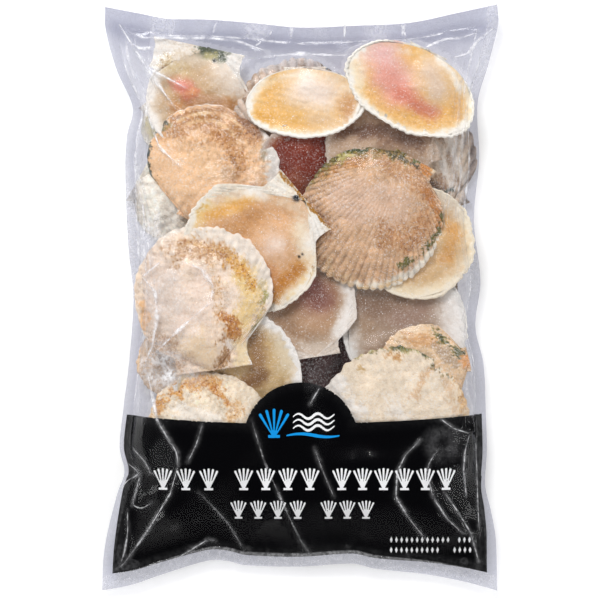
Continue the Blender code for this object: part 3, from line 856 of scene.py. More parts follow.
def glazed_meat():
    """Frozen meat and roe under an uneven ice glaze: smoother than the shell, and less rimed."""
    material, tree = new_material("ice_glazed_meat")
    paint = node(tree, "ShaderNodeAttribute", attribute_name="paint")
    mixed, grains, place = frost(tree, paint, 0.3, 1.2)
    bump = node(
        tree, "ShaderNodeBump", {"Height": grains.outputs["Fac"], "Strength": 0.7, "Distance": 0.4 * MM}
    )
    surface = node(
        tree,
        "ShaderNodeBsdfPrincipled",
        {
            "Base Color": mixed.outputs["Result"],
            "Normal": bump.outputs["Normal"],
            "Roughness": 0.55,
            "Specular IOR Level": 0.3,
        },
    )
    node(tree, "ShaderNodeOutputMaterial", {"Surface": surface.outputs[0]})
    return material


shell_finish = rimed_shell()
meat_finish = glazed_meat()

# Each scallop in turn: shaped, laid on the heap, and coloured where it lies.
for name, centre, radius, heading, face_up, ribs, aspect, fineness in SCALLOPS:
    seed = sum(ord(letter) * (place + 1) for place, letter in enumerate(name))
    valve_colour, meat_colour, lip = GROUNDS[name]
    opening = np.radians(OPENINGS.get(name, (60, 60)))
    ribbed = RIBBED.get(name, 0.35)
    columns, rows = FINENESS[fineness]
    stretch = np.array([1.0, aspect, 1.0])

    valve, flat = grid_piece(f"valve_{name}", columns, rows)
    places, from_margin, wave = valve_form(
        flat[:, 0], (flat[:, 1] + 1) / 2, radius, ribs, ribbed, opening,
        EARS.get(name, (0.56, 0.56)), 0.35 if face_up else 1.0, seed,
    )
    meat_cells = 3 * rows // 2 if face_up else HIDDEN_MEAT_CELLS
    meat, meat_flat = grid_piece(f"meat_{name}", meat_cells, meat_cells)
    meat_places, outwards = meat_form(
        meat_flat[:, 0], meat_flat[:, 1], radius, opening, face_up, seed
    )
    places = places * stretch
    meat_places = meat_places * stretch

    tilt_x, tilt_y, lift = settle(np.concatenate([places, meat_places]), heading, face_up, centre)
    rest = np.array([centre[0], centre[1], lift + RAISED.get(name, 0.0)])
    places = turned(places, heading, face_up, tilt_x, tilt_y) + rest
    places[:, 2] = np.maximum(places[:, 2], VALVE_THICKNESS / 2 + LOWEST)
    meat_places = turned(meat_places, heading, face_up, tilt_x, tilt_y) + rest
    for (x, y), size, height in LUMPS.get(name, []):
        off = np.hypot(meat_places[:, 0] - x, meat_places[:, 1] - y) / size
        meat_places[:, 2] += height * np.exp(-(off**3))
    for part in (places, meat_places):
        np.maximum.at(level, cells(part[:, 0], part[:, 1], CELL, level), part[:, 2])
        np.maximum.at(crown, cells(part[:, 0], part[:, 1], 1.0, crown), part[:, 2])
        np.minimum.at(sole, cells(part[:, 0], part[:, 1], 1.0, sole), part[:, 2])

    x, y = places[:, 0], places[:, 1]
    strokes = STROKES.get(name, [])
    ground = np.repeat(srgb(valve_colour)[None], len(x), 0)
    share = np.zeros(len(x))
    if lip:
        share = lip_share(from_margin, x, y, lip, centre, seed)
        ground += (srgb(lip[0]) - ground) * share[:, None]
    colours, mottled = painted(ground, x, y, strokes, 0.0, seed)
    mottled *= 1 - 0.75 * share
    # Darker in the rib valleys towards the margin: painted shade of the ribs' relief.
    rib_valley_shade = smoothstep(0.3, -0.9, wave) * smoothstep(10 + 24 * ribbed, 4, from_margin)
    colours *= (1 - (0.02 + 0.15 * ribbed) * rib_valley_shade)[:, None]
    if face_up:
        clean = smoothstep(5.0, 1.5, from_margin) * (np.abs(flat[:, 0]) < FAN_SHARE)
        colours += (srgb(valve_colour) - colours) * clean[:, None]
        mottled *= 1 - clean
    add_values(valve, "paint", np.c_[linear(colours), mottled])
    set_places(valve, places)
    valve.data.materials.append(shell_finish)

    x, y = meat_places[:, 0], meat_places[:, 1]
    rim = outwards + 0.03 * wander(x, y, 9, seed + 3) + 0.02 * wander(x, y, 2.5, seed + 4)
    ground = srgb(meat_colour) + (srgb(valve_colour) - srgb(meat_colour)) * (
        0.85 * smoothstep(0.68, 0.98, rim)[:, None]
    )
    colours, mottled = painted(ground, x, y, strokes, 1.0, seed)
    colours += (srgb(valve_colour) - colours) * smoothstep(0.9, 1.0, rim)[:, None]
    mottled *= 1 - smoothstep(0.8, 1.0, rim)
    add_values(meat, "paint", np.c_[linear(colours), mottled])
    set_places(meat, meat_places)
    meat.data.materials.append(meat_finish)
    # The meat's free side faces out of the valve.
    meat.data.flip_normals()

    # The valve's wall grows to both sides of its mesh.
    wall = valve.modifiers.new("wall", "SOLIDIFY")
    wall.thickness = VALVE_THICKNESS * MM
    wall.offset = 0.0
    for piece, slot in ((valve, "scallop_shell"), (meat, "scallop_meat")):
        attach(piece, "root")

# ---------------------------------------------------------------------------
# The clear film, a nylon and polyethylene laminate: a front and a back sheet drawn onto the
# shells by the vacuum, creased where it had to fold, and welded flat along all four sides.
# ---------------------------------------------------------------------------

# The pouch as cut from the roll, and how far the vacuum draws each edge in from that: place
# along the edge, and inset.
POUCH_WIDTH = 246.0
POUCH_LENGTH = 364.0
LEFT_EDGE = [
    (-182, 0), (-160, 1), (-143, 4), (-120, 10), (-108, 14), (-93, 11), (-71, 13), (-37, 17),
    (2, 19.5), (32, 16.5), (79, 14.5), (102, 15.5), (119, 19), (143, 9), (168, 2.3), (182, 2),
]
RIGHT_EDGE = [
    (-182, 0.5), (-150, 1.4), (-132, 4.5), (-117, 8), (-95, 7), (-75, 7.5), (-41, 9), (-18, 14),
    (10, 11), (48, 15), (86, 11.7), (121, 12.6), (145, 6), (170, 0), (182, 0.5),
]
TOP_EDGE = [
    (-123, 1.5), (-100, 6), (-84, 9), (-60, 9.4), (-31, 11.4), (-1, 14.3), (31, 13.4),
    (68, 11.4), (97, 5.5), (123, 0),
]
BOTTOM_EDGE = [
    (-123, 0), (-104, 3.7), (-88, 9.3), (-57, 18.6), (-45, 18.4), (-34, 15.8), (0, 15),
    (33, 16.8), (47, 13.7), (79, 10), (103, 5.4), (123, 0),
]
# The seals: their height above the table, their widths, half the weld's thickness, and how far
# their inner edges lie from the middle of the cut film.
SEAL_HEIGHT = 8.0
SEAL_SIDES = 7.0
SEAL_TOP = 11.0
SEAL_BOTTOM = 9.0
SEAL_HALF_THICKNESS = 0.45
INNER_SIDE = POUCH_WIDTH / 2 - SEAL_SIDES
INNER_TOP = POUCH_LENGTH / 2 - SEAL_TOP
INNER_BOTTOM = POUCH_LENGTH / 2 - SEAL_BOTTOM
# The front film's cells, a little under a millimetre each. The back film's are twice as big.
COLUMNS = 258
ROWS = 382
# How far the film stays off the shells, how much further the stiffer printed part does, and how
# many millimetres past each place of a shell both still do.
FILM_GAP = 1.5
PRINT_GAP = 1.2
COVERED = 2
# How much the vacuum pulls each cell down in each pass, and the passes at each cell size.
SUCTION = 0.012
PASSES = 260
# How high the printed part stands in its middle.
PRINT_BULGE = 27.0
# The small folds' height, and how far in from a seal they run.
FOLD_HEIGHT = 0.5
FOLD_REACH = 34.0
# How far the top seal's grey fades into the films below it.
TINT_REACH = 16.0

# Sharp folds: height in mm, width in mm, how white they show, partly the film's stress whitening and partly
# a painted highlight along the fold, and the path.
CREASES = [
    (0.9, 1.2, 0.7, [(-113, 171), (-95, 142), (-77, 117)]),
    (0.7, 1.1, 0.6, [(-95, 142), (-84, 137), (-71, 130)]),
    (0.9, 1.2, 0.7, [(-95, 115), (-87, 93), (-74, 81)]),
    (0.6, 1.2, 0.5, [(-103, 89), (-99, 71)]),
    (1.0, 1.3, 0.7, [(-97, 13), (-89, 3), (-88, -12), (-91, -30), (-96, -40)]),
    (0.9, 1.2, 0.6, [(-96, -40), (-91, -61), (-88, -76), (-76, -95), (-75, -103)]),
    (0.8, 1.2, 0.5, [(-75, -103), (-80, -121), (-96, -147), (-110, -166), (-114, -169)]),
    (0.8, 1.1, 0.6, [(-97, 13), (-86, 22)]),
    (0.8, 1.1, 0.6, [(-96, -40), (-69, -15), (-55, -3)]),
    (0.5, 1.3, 0.4, [(-55, -3), (-53, 7), (-61, 18), (-72, 22)]),
    (0.7, 1.1, 0.6, [(-103, -94), (-96, -101), (-92, -109)]),
    (0.7, 1.1, 0.6, [(-108, -102), (-99, -109), (-108, -114), (-114, -125)]),
    (0.7, 1.1, 0.6, [(-99, -110), (-104, -129), (-98, -131), (-92, -127)]),
    (0.7, 1.1, 0.5, [(-107, -132), (-107, -147), (-109, -158), (-112, -167)]),
    (0.7, 1.1, 0.5, [(-78, -163), (-57, -150), (-52, -151)]),
    (0.6, 1.3, 0.3, [(-60, -78), (-64, -91), (-69, -101)]),
    (0.6, 1.4, 0.2, [(-62, -120), (-45, -139), (-34, -158)]),
    (0.8, 1.3, 0.3, [(-30, -75), (-22, -101), (-7, -135), (0, -150), (6, -159)]),
    (0.6, 1.3, 0.3, [(9, -93), (14, -107), (21, -123)]),
    (0.7, 1.1, 0.5, [(12, -56), (6, -66)]),
    (0.9, 1.2, 0.5, [(74, -88), (65, -97), (60, -107), (59, -123), (67, -136), (78, -150)]),
    (0.9, 1.2, 0.5, [(85, -94), (80, -101), (78, -107), (82, -123), (91, -137), (101, -146)]),
    (0.7, 1.1, 0.5, [(89, -120), (98, -133), (106, -146), (111, -164)]),
    (0.7, 1.1, 0.6, [(105, -84), (102, -95), (101, -107), (103, -123)]),
    (0.7, 1.1, 0.6, [(87, -75), (95, -81), (105, -84)]),
    (0.6, 1.1, 0.5, [(109, -87), (110, -118), (111, -143)]),
    (0.8, 1.2, 0.6, [(121, 168), (110, 159), (104, 151), (94, 148)]),
    (0.6, 1.1, 0.5, [(77, 154), (87, 159), (96, 161)]),
    (0.6, 1.2, 0.5, [(-109, 166), (-98, 161), (-54, 161), (-38, 159), (-19, 152)]),
    (0.5, 1.2, 0.4, [(-33, 148), (0, 151), (31, 149)]),
    (0.4, 1.5, 0.6, [(-5, 171), (-5.5, 160)]),
    (0.4, 1.3, 0.5, [(28, 170), (27.5, 161)]),
    (0.4, 1.5, 0.5, [(65, 170), (63, 161)]),
    (0.4, 1.2, 0.4, [(-52, 171), (-54, 164)]),
    (0.4, 1.2, 0.5, [(62, 171), (65, 165), (66, 158)]),
    (0.4, 1.3, 0.4, [(-28, 156), (-21, 161), (-17, 166)]),
    (0.6, 1.3, 0.6, [(-105, 158), (-99, 154), (-92, 155)]),
    (0.5, 1.2, 0.4, [(-108, 160), (-107, 150), (-102, 134)]),
    (0.5, 1.2, 0.4, [(-99, 108), (-101, 97), (-103, 82), (-100, 71)]),
    (0.5, 1.2, 0.4, [(-97, 128), (-95, 114), (-97, 104)]),
    (0.5, 1.2, 0.4, [(80, 155), (88, 160), (100, 161), (112, 165)]),
]

# Where the film stands off the shells and is fogged inside: place, radius in mm and amount.
FOGGED = [
    ((-84, 2), 24, 0.20), ((-74, -22), 18, 0.14), ((-86, -42), 22, 0.5), ((-66, -46), 12, 0.2),
    ((-92, 40), 14, 0.2), ((88, -90), 16, 0.05),
]

# The black field: its top line and how far that rises to the sides, its foot, its sides, and
# the round crown.
PRINT_TOP = -77.8
PRINT_RISE = 5.5
PRINT_BOTTOM = -175.4
PRINT_BOTTOM_CORNERS = -172.4
PRINT_SIDE = 121.6
PRINT_SIDE_FOOT = 116.8
CROWN_CENTRE = (0.5, -87.7)
CROWN_RADIUS = 35.3


def inset(knots, places):
    """The edge's inset at each place: a cubic between each two knots, with no corner."""
    along, value = np.array(knots, float).T
    before = np.r_[0, np.arange(len(along) - 1)]
    after = np.r_[np.arange(1, len(along)), len(along) - 1]
    slope = (value[after] - value[before]) / (along[after] - along[before])
    i = np.clip(np.searchsorted(along, places) - 1, 0, len(along) - 2)
    run = along[i + 1] - along[i]
    t = (places - along[i]) / run
    rest = 1.0 - t
    return (
        value[i] * rest * rest * (1 + 2 * t)
        + value[i + 1] * t * t * (3 - 2 * t)
        + slope[i] * run * t * rest * rest
        - slope[i + 1] * run * t * t * rest
    )


def place_on_pouch(cut_x, cut_y):
    """Where points of the cut film lie once the vacuum has drawn its edges in."""
    left = -POUCH_WIDTH / 2 + inset(LEFT_EDGE, cut_y)
    right = POUCH_WIDTH / 2 - inset(RIGHT_EDGE, cut_y)
    bottom = -POUCH_LENGTH / 2 + inset(BOTTOM_EDGE, cut_x)
    top = POUCH_LENGTH / 2 - inset(TOP_EDGE, cut_x)
    x = left + (right - left) * (cut_x / POUCH_WIDTH + 0.5)
    y = bottom + (top - bottom) * (cut_y / POUCH_LENGTH + 0.5)
    return x, y


def place_on_cut(x, y):
    """Where places on the pouch lie on the cut film."""
    cut_x, cut_y = x + 0.0, y + 0.0
    for _ in range(12):
        now_x, now_y = place_on_pouch(cut_x, cut_y)
        cut_x, cut_y = cut_x + x - now_x, cut_y + y - now_y
    return cut_x, cut_y


def black_field(cut_x, cut_y):
    """Distance outside the black field: straight on the cut film at its sides and foot, and
    as it lies on the pouch along its top, with the round crown in the middle."""
    x, y = place_on_pouch(cut_x, cut_y)
    top = y - PRINT_TOP - PRINT_RISE * (x / 110) ** 2
    side = PRINT_SIDE + (PRINT_SIDE_FOOT - PRINT_SIDE) * smoothstep(-90, -165, cut_y)
    foot = PRINT_BOTTOM + (PRINT_BOTTOM_CORNERS - PRINT_BOTTOM) * (cut_x / side) ** 2
    box = np.maximum(np.abs(cut_x) - side, np.maximum(top, foot - cut_y))
    return np.minimum(box, np.hypot(x - CROWN_CENTRE[0], y - CROWN_CENTRE[1]) - CROWN_RADIUS)


def inside_seals(cut_x, cut_y):
    """Distance inside the seals' inner edge on the cut film; below zero on a seal."""
    from_end = np.minimum(INNER_TOP - cut_y, INNER_BOTTOM + cut_y)
    return np.minimum(INNER_SIDE - np.abs(cut_x), from_end)


def seal_height(cut_x, cut_y):
    """The seals' height above the table, with the slight waves of a stiff film."""
    u, v = 2 * cut_x / POUCH_WIDTH, 2 * cut_y / POUCH_LENGTH
    side_wave = 1.5 * np.abs(u) * np.sin(1.3 * math.tau * v)
    end_wave = 1.2 * np.abs(v) * np.sin(1.1 * math.tau * u)
    return SEAL_HEIGHT + side_wave + end_wave


def spread(field, reach):
    """The highest value within a few cells of each cell."""
    for _ in range(reach):
        up = np.maximum(np.roll(field, 1, 0), np.roll(field, -1, 0))
        field = np.maximum(field, up)
        field = np.maximum(field, np.maximum(np.roll(field, 1, 1), np.roll(field, -1, 1)))
    return field


def softened(field, passes, share):
    """A field drawn towards the mean of its neighbours, by the share given, in each pass."""
    for _ in range(passes):
        beside = np.roll(field, 1, 0) + np.roll(field, -1, 0) + np.roll(field, 1, 1) + np.roll(field, -1, 1)
        field = field + (beside / 4 - field) * share
    return field


def drawn_over(heights, held):
    """A film drawn tight over heights, and sucked a little into the hollows between them."""
    film = None
    for step in (8, 4, 2, 1):
        under, fixed = heights[::step, ::step], held[::step, ::step]
        if film is None:
            film = under.copy()
        else:
            film = np.repeat(np.repeat(film, 2, 0), 2, 1)[: under.shape[0], : under.shape[1]]
        for _ in range(PASSES):
            mean = film.copy()
            mean[1:-1, 1:-1] = (
                film[:-2, 1:-1] + film[2:, 1:-1] + film[1:-1, :-2] + film[1:-1, 2:]
            ) / 4 - SUCTION * step**2
            film = np.where(fixed, under, np.maximum(under, mean))
    return film


def sampled(field, cut_x, cut_y):
    """A field over the front film's grid, read between its vertices."""
    across = np.clip((cut_x / POUCH_WIDTH + 0.5) * COLUMNS, 0, COLUMNS - 1e-6)
    up = np.clip((cut_y / POUCH_LENGTH + 0.5) * ROWS, 0, ROWS - 1e-6)
    i, j = up.astype(int), across.astype(int)
    s, t = up - i, across - j
    low = field[i, j] * (1 - t) + field[i, j + 1] * t
    high = field[i + 1, j] * (1 - t) + field[i + 1, j + 1] * t
    return low * (1 - s) + high * s


def clear_film():
    """Clear laminate: see-through, with a mirror gloss that grows towards grazing angles. Its grey tint,
    where both films lie together and where the film stands free, is partly the films' own and partly a
    painted reflection of the studio. It is dimpled where knurled, and milky with haze, which along the
    folds is partly a painted highlight."""
    material, tree = new_material("clear_laminate_film")
    bare = node(tree, "ShaderNodeAttribute", attribute_name="bare")
    milk_and_glint = node(tree, "ShaderNodeAttribute", attribute_name="milk_and_glint")
    seal = node(tree, "ShaderNodeAttribute", attribute_name="knurl")
    tint = node(
        tree,
        "ShaderNodeMix",
        {"Factor": bare.outputs["Fac"], "A": linear("#FBFBFC"), "B": linear("#D2D3DD")},
        data_type="RGBA",
    )
    place = node(tree, "ShaderNodeTexCoord").outputs["Object"]
    dimples = node(
        tree,
        "ShaderNodeTexVoronoi",
        {"Vector": place, "Scale": 1 / (1.5 * MM), "Randomness": 0.2},
    )
    depth = node(
        tree,
        "ShaderNodeMath",
        {0: dimples.outputs["Distance"], 1: seal.outputs["Fac"]},
        operation="MULTIPLY",
    )
    bump = node(tree, "ShaderNodeBump", {"Height": depth.outputs[0], "Distance": 0.5 * MM})
    facing = node(tree, "ShaderNodeLayerWeight", {"Blend": 0.5, "Normal": bump.outputs["Normal"]})
    steep = node(
        tree, "ShaderNodeMath", {0: facing.outputs["Facing"], 1: 4.5}, operation="POWER"
    )
    straight = node(
        tree, "ShaderNodeMath", {0: bare.outputs["Fac"], 1: 0.04, 2: 0.009}, operation="MULTIPLY_ADD"
    )
    mirror = node(
        tree,
        "ShaderNodeMath",
        {0: steep.outputs[0], 1: 0.9, 2: straight.outputs[0]},
        operation="MULTIPLY_ADD",
        use_clamp=True,
    )
    through = node(tree, "ShaderNodeBsdfTransparent", {"Color": tint.outputs["Result"]})
    gloss = node(
        tree, "ShaderNodeBsdfGlossy", {"Roughness": 0.1, "Normal": bump.outputs["Normal"]}
    )
    sheet = node(
        tree, "ShaderNodeMixShader", {"Fac": mirror.outputs[0], 1: through.outputs[0], 2: gloss.outputs[0]}
    )
    crumbs = node(tree, "ShaderNodeTexNoise", {"Vector": place, "Scale": 1 / (2.2 * MM), "Detail": 3.0})
    broken = node(
        tree, "ShaderNodeValToRGB", {"Fac": crumbs.outputs["Fac"]}, [(0.36, 0.35), (0.60, 1.0)]
    )
    amount = node(
        tree,
        "ShaderNodeMath",
        {0: milk_and_glint.outputs["Fac"], 1: broken.outputs["Color"]},
        operation="MULTIPLY",
        use_clamp=True,
    )
    milk = node(tree, "ShaderNodeBsdfDiffuse", {"Color": linear("#F7F7FA")})
    whole = node(
        tree, "ShaderNodeMixShader", {"Fac": amount.outputs[0], 1: sheet.outputs[0], 2: milk.outputs[0]}
    )
    node(tree, "ShaderNodeOutputMaterial", {"Surface": whole.outputs[0]})
    return material


film_finish = clear_film()

front_film, flat = grid_piece("front_film", COLUMNS, ROWS)
shape = (ROWS + 1, COLUMNS + 1)
cut_x = (flat[:, 0] * POUCH_WIDTH / 2).reshape(shape)
cut_y = (flat[:, 1] * POUCH_LENGTH / 2).reshape(shape)
film_x, film_y = place_on_pouch(cut_x, cut_y)
within = inside_seals(cut_x, cut_y)
seal = seal_height(cut_x, cut_y)
place_in_heap = cells(film_x, film_y, 1.0, crown)
contents = spread(crown, COVERED)[place_in_heap]

# The film is held in the seals, and elsewhere drawn over the shells and the stiffer print,
# with the print's smoothing more than the clear part's.
held = within < 0
printed = smoothstep(6, -8, black_field(cut_x, cut_y))
pillow = PRINT_BULGE * smoothstep(-6, 40, within) ** 0.8 * smoothstep(6, -26, black_field(cut_x, cut_y))
under_film = np.maximum(contents + FILM_GAP + PRINT_GAP * printed, pillow)
front = drawn_over(np.where(held, seal + SEAL_HALF_THICKNESS, under_film), held)
front = softened(front, 12, np.where(held, 0.0, 0.4 + 0.4 * printed))
front = softened(front, 30, np.where(held, 0.0, 0.8 * printed))
gap_below = softened(front - contents, 16, 0.8)
lone = smoothstep(6.0, 20.0, front - contents) * smoothstep(6, 2, contents)

# Small folds run along the sides where no shell holds the film out, with painted highlight streaks along
# them as well as the film's own haze.
folds = wander(cut_x, cut_y / 9, 7, 21)
folds = folds + 0.5 * wander(cut_x, cut_y / 7, 3.5, 22) * (1 - printed)
near_edge = smoothstep(FOLD_REACH, 12, within) * smoothstep(-2, 5, within)
near_edge = near_edge * smoothstep(4, 30, INNER_TOP - cut_y)
front = front + FOLD_HEIGHT * folds * near_edge * smoothstep(0.5, 5, gap_below)
front = softened(front, 8, np.where(held, 0.0, 0.6 * printed))

# No shell comes through the film, however much the smoothing has drawn it in.
lowest = np.where(printed > 0.5, contents + 1.0, crown[place_in_heap] + 0.5)
front = np.where(held, front, np.maximum(front, lowest))

# Milky haze: hardly on the shells and more where the film hangs over them. Along the small folds and the
# creases it also carries painted highlights, with a painted glow beside each crease.
milk_and_glint = 0.012 + 0.05 * smoothstep(3, 14, gap_below) * smoothstep(0, 3, contents)
standing_off = 0.2 + 0.8 * smoothstep(2, 6, gap_below)
milk_and_glint = milk_and_glint + (0.06 + 0.35 * smoothstep(0.5, 2.2, folds)) * near_edge * standing_off
milk_and_glint = milk_and_glint * (1 - printed)
for height, width, white, path in CREASES:
    gap = distance_to_path(film_x, film_y, path)
    gap = np.abs(gap + 0.25 * wander(film_x, film_y, 7, 31))
    uneven = 0.75 + 0.35 * wander(film_x, film_y, 16, 32)
    ridge = np.exp(-((gap / width) ** 1.3)) + 0.7 * np.exp(-((gap / 6) ** 2))
    front = front + height * uneven * ridge * smoothstep(-4, 4, within)
    # Along each crease the film is white, partly stress whitening and partly a painted highlight, with a
    # painted glow beside it.
    milk_and_glint = np.maximum(milk_and_glint, 0.3 * white * uneven * np.exp(-((gap / width) ** 2)))
    milk_and_glint = milk_and_glint + 0.04 * white * np.exp(-((gap / 4) ** 2)) * (1 - 0.9 * printed)
for (x, y), radius, amount in FOGGED:
    share = smoothstep(1.0, 0.3, np.hypot(film_x - x, film_y - y) / radius)
    milk_and_glint = np.maximum(milk_and_glint, amount * share * (1 + 0.4 * wander(film_x, film_y, 9, 33)))

# The bottom seal is knurled by the sealing bar, and the top one has painted highlights in patches, laid on
# as milky white.
knurled = smoothstep(0.3, -0.3, within) * (cut_y < -INNER_BOTTOM)
shine = 0.22 * smoothstep(0.1, 1.3, wander(cut_x, cut_y / 3, 22, 41)) * (cut_y > 0)
milk_and_glint = np.where(held, 0.06 + shine + 0.17 * knurled, milk_and_glint)

# Bare: the grey tint where one film lies on the other, in the seals and beside the top one, and where the
# film stands free of the shells. It is partly the films' own grey and partly a painted reflection of the
# studio.
near_top = smoothstep(INNER_TOP - TINT_REACH, INNER_TOP, cut_y)
bare = np.where(held, 0.44, 0.45 * lone)
bare = np.maximum(bare, 0.92 * near_top * np.where(held, 1.0, smoothstep(6, 2, contents)))
set_places(front_film, np.stack([film_x, film_y, front], -1).reshape(-1, 3))
add_values(front_film, "bare", bare.ravel())
add_values(front_film, "milk_and_glint", np.clip(milk_and_glint, 0, 1).ravel())
add_values(front_film, "knurl", knurled.ravel())
front_film.data.materials.append(film_finish)
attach(front_film, "root")
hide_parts("pouch")

# Each fold shows a thin white thread, widest in its middle, partly the film's stress whitening and partly a
# painted highlight. More threads, painted highlights alone, run beside the seals and along their inner
# edges.
THREAD_STEP = 0.6
SIDE_THREADS = 16
THREADS = [(width, white, path) for _, width, white, path in CREASES]
draw = np.random.default_rng(8)
for side in (-1, 1):
    for _ in range(SIDE_THREADS):
        start, length, inside = draw.uniform(-70, 140), draw.uniform(18, 70), draw.uniform(0, 13)
        at = np.linspace(start, min(start + length, 170), 8)
        bend = inside + 1.6 * wander(at, at, 40, 61 + side)
        at_x = side * (INNER_SIDE - bend)
        free = smoothstep(2, 6, sampled(gap_below, at_x, at)).mean()
        path = list(zip(*place_on_pouch(at_x, at)))
        THREADS.append((draw.uniform(0.5, 1.1), draw.uniform(0.25, 0.7) * free, path))
for side in (-1, 1):
    at = np.linspace(-74, 166, 60)
    path_x, path_y = place_on_pouch(side * INNER_SIDE, at)
    THREADS.append((0.9, 0.45, list(zip(path_x, path_y))))
at = np.linspace(-112, 112, 60)
path_x, path_y = place_on_pouch(at, INNER_TOP)
THREADS.append((0.9, 0.4, list(zip(path_x, path_y))))


def smooth_line(path):
    """Places along a path, THREAD_STEP apart, with its corners rounded off."""
    x, y = np.array(path, float).T
    along = np.r_[0, np.cumsum(np.hypot(np.diff(x), np.diff(y)))]
    at = np.linspace(0, along[-1], max(8, round(along[-1] / THREAD_STEP)))
    line = [np.interp(at, along, x), np.interp(at, along, y)]
    for _ in range(12):
        for axis in line:
            axis[1:-1] = (axis[:-2] + axis[1:-1] + axis[2:]) / 3
    return line


mesh = bmesh.new()
thread_glint = mesh.verts.layers.float.new("milk_and_glint")
for number, (width, white, path) in enumerate(THREADS):
    x, y = smooth_line(path)
    run_x, run_y = np.gradient(x), np.gradient(y)
    length = np.hypot(run_x, run_y)
    t = np.linspace(0, 1, len(x))
    wide = 1.1 * width * np.sin(math.pi * t) ** 0.5 * (1 + 0.35 * wander(x, y, 9, 71 + number))
    shown = 1.5 * white * np.minimum(1, 4 * np.sin(math.pi * t))
    shown = shown * (0.8 + 0.35 * wander(x, y, 6, 81 + number))
    inked = smoothstep(4, -4, black_field(*place_on_cut(x, y)))
    wide, shown = wide * (1 - 0.5 * inked), shown * (1 - 0.3 * inked)
    grid = bmesh.ops.create_grid(mesh, x_segments=len(x) - 1, y_segments=6, size=1.0)["verts"]
    for vertex in grid:
        i, off = round((vertex.co.x + 1) / 2 * (len(x) - 1)), vertex.co.y
        vertex.co.x = x[i] - off * wide[i] * run_y[i] / length[i]
        vertex.co.y = y[i] + off * wide[i] * run_x[i] / length[i]
        vertex.co.z = 0.05 + 0.2 * (1 - off * off) * wide[i]
        vertex[thread_glint] = min(max(shown[i], 0), 1) * (1 - off * off) ** 2
fold_glint_lines = new_piece("fold_glint_lines", mesh)
places = np.empty(len(fold_glint_lines.data.vertices) * 3, np.float32)
fold_glint_lines.data.vertices.foreach_get("co", places)
places = places.reshape(-1, 3).astype(float)
places[:, 2] += sampled(front, *place_on_cut(places[:, 0], places[:, 1]))
set_places(fold_glint_lines, places)
fold_glint_lines.data.materials.append(film_finish)
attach(fold_glint_lines, "root")

back_film, flat = grid_piece("back_film", COLUMNS // 2, ROWS // 2)
shape = (ROWS // 2 + 1, COLUMNS // 2 + 1)
back_x = (flat[:, 0] * POUCH_WIDTH / 2).reshape(shape)
back_y = (flat[:, 1] * POUCH_LENGTH / 2).reshape(shape)
x, y = place_on_pouch(back_x, back_y)
welded = inside_seals(back_x, back_y) < 0
beneath = -spread(-sole, COVERED)[cells(x, y, 1.0, sole)]
weld = -seal_height(back_x, back_y) + SEAL_HALF_THICKNESS
back = -drawn_over(np.where(welded, weld, -beneath + FILM_GAP), welded)
back = np.maximum(back, 0.0)
set_places(back_film, np.stack([x, y, back], -1).reshape(-1, 3))
# The back film's grey tint, deeper towards the top seal: partly its own, partly a painted reflection of the
# studio.
tint = 0.58 + 0.2 * smoothstep(INNER_TOP - TINT_REACH, INNER_TOP, back_y)
add_values(back_film, "bare", tint.ravel())
add_values(back_film, "milk_and_glint", np.full(back.size, 0.03))
back_film.data.materials.append(film_finish)
back_film.data.flip_normals()
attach(back_film, "root")

# ---------------------------------------------------------------------------
# The print: black ink under the outer layer of the film's lower third, with a round top in
# the middle, and plain marks in white and blue where a pack carries its words.
# ---------------------------------------------------------------------------

# How far each ink lies below the film, square to it, and the size of the marks' cells. On a
# steep slope that is measured straight down, up to the steepest that counts.
BLACK_DEPTH = 0.42
MARK_DEPTH = 0.2
MARK_CELL = 0.3
STEEPEST = 2.2

slope_y, slope_x = np.gradient(front, POUCH_LENGTH / ROWS, POUCH_WIDTH / COLUMNS)
steepness = spread(np.minimum(np.sqrt(1 + slope_x**2 + slope_y**2), STEEPEST), 1)


def ink_on_film(name, colour, patches, depth):
    """Ink that follows the front film, a little below it, wherever a patch's shape is below 0.
    It is matt, and its gloss is the film's.

    Each patch is (low x, low y, high x, high y, cell, shape) on the cut film, where shape
    gives the distance in mm outside the ink.
    """
    mesh = bmesh.new()
    for low_x, low_y, high_x, high_y, cell, shape in patches:
        columns, rows = round((high_x - low_x) / cell), round((high_y - low_y) / cell)
        grid = bmesh.ops.create_grid(mesh, x_segments=columns, y_segments=rows, size=1.0)["verts"]
        flat = np.array([vertex.co[:2] for vertex in grid])
        x = low_x + (flat[:, 0] + 1) / 2 * (high_x - low_x)
        y = low_y + (flat[:, 1] + 1) / 2 * (high_y - low_y)
        outside = shape(x, y)
        step = 0.05
        slope_x = (shape(x + step, y) - shape(x - step, y)) / (2 * step)
        slope_y = (shape(x, y + step) - shape(x, y - step)) / (2 * step)
        length = np.maximum(np.hypot(slope_x, slope_y), 0.3)
        # Vertices close beside the ink's edge are drawn onto it, and those farther out are lost.
        near = 0.55 * cell
        snap = np.where(np.abs(outside) < near, outside, 0.0) / length**2
        x, y = x - slope_x * snap, y - slope_y * snap
        px, py = place_on_pouch(x, y)
        z = sampled(front, x, y) - depth * sampled(steepness, x, y)
        for vertex, a, b, c in zip(grid, px, py, z):
            vertex.co = (a * MM, b * MM, c * MM)
        lost = [vertex for vertex, far in zip(grid, outside >= near) if far]
        bmesh.ops.delete(mesh, geom=lost, context="VERTS")
    piece = new_piece(name, mesh)
    material, tree = new_material(name)
    surface = node(
        tree,
        "ShaderNodeBsdfPrincipled",
        {"Base Color": linear(colour), "Roughness": 0.6, "Specular IOR Level": 0.0},
    )
    node(tree, "ShaderNodeOutputMaterial", {"Surface": surface.outputs[0]})
    piece.data.materials.append(material)
    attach(piece, "root")


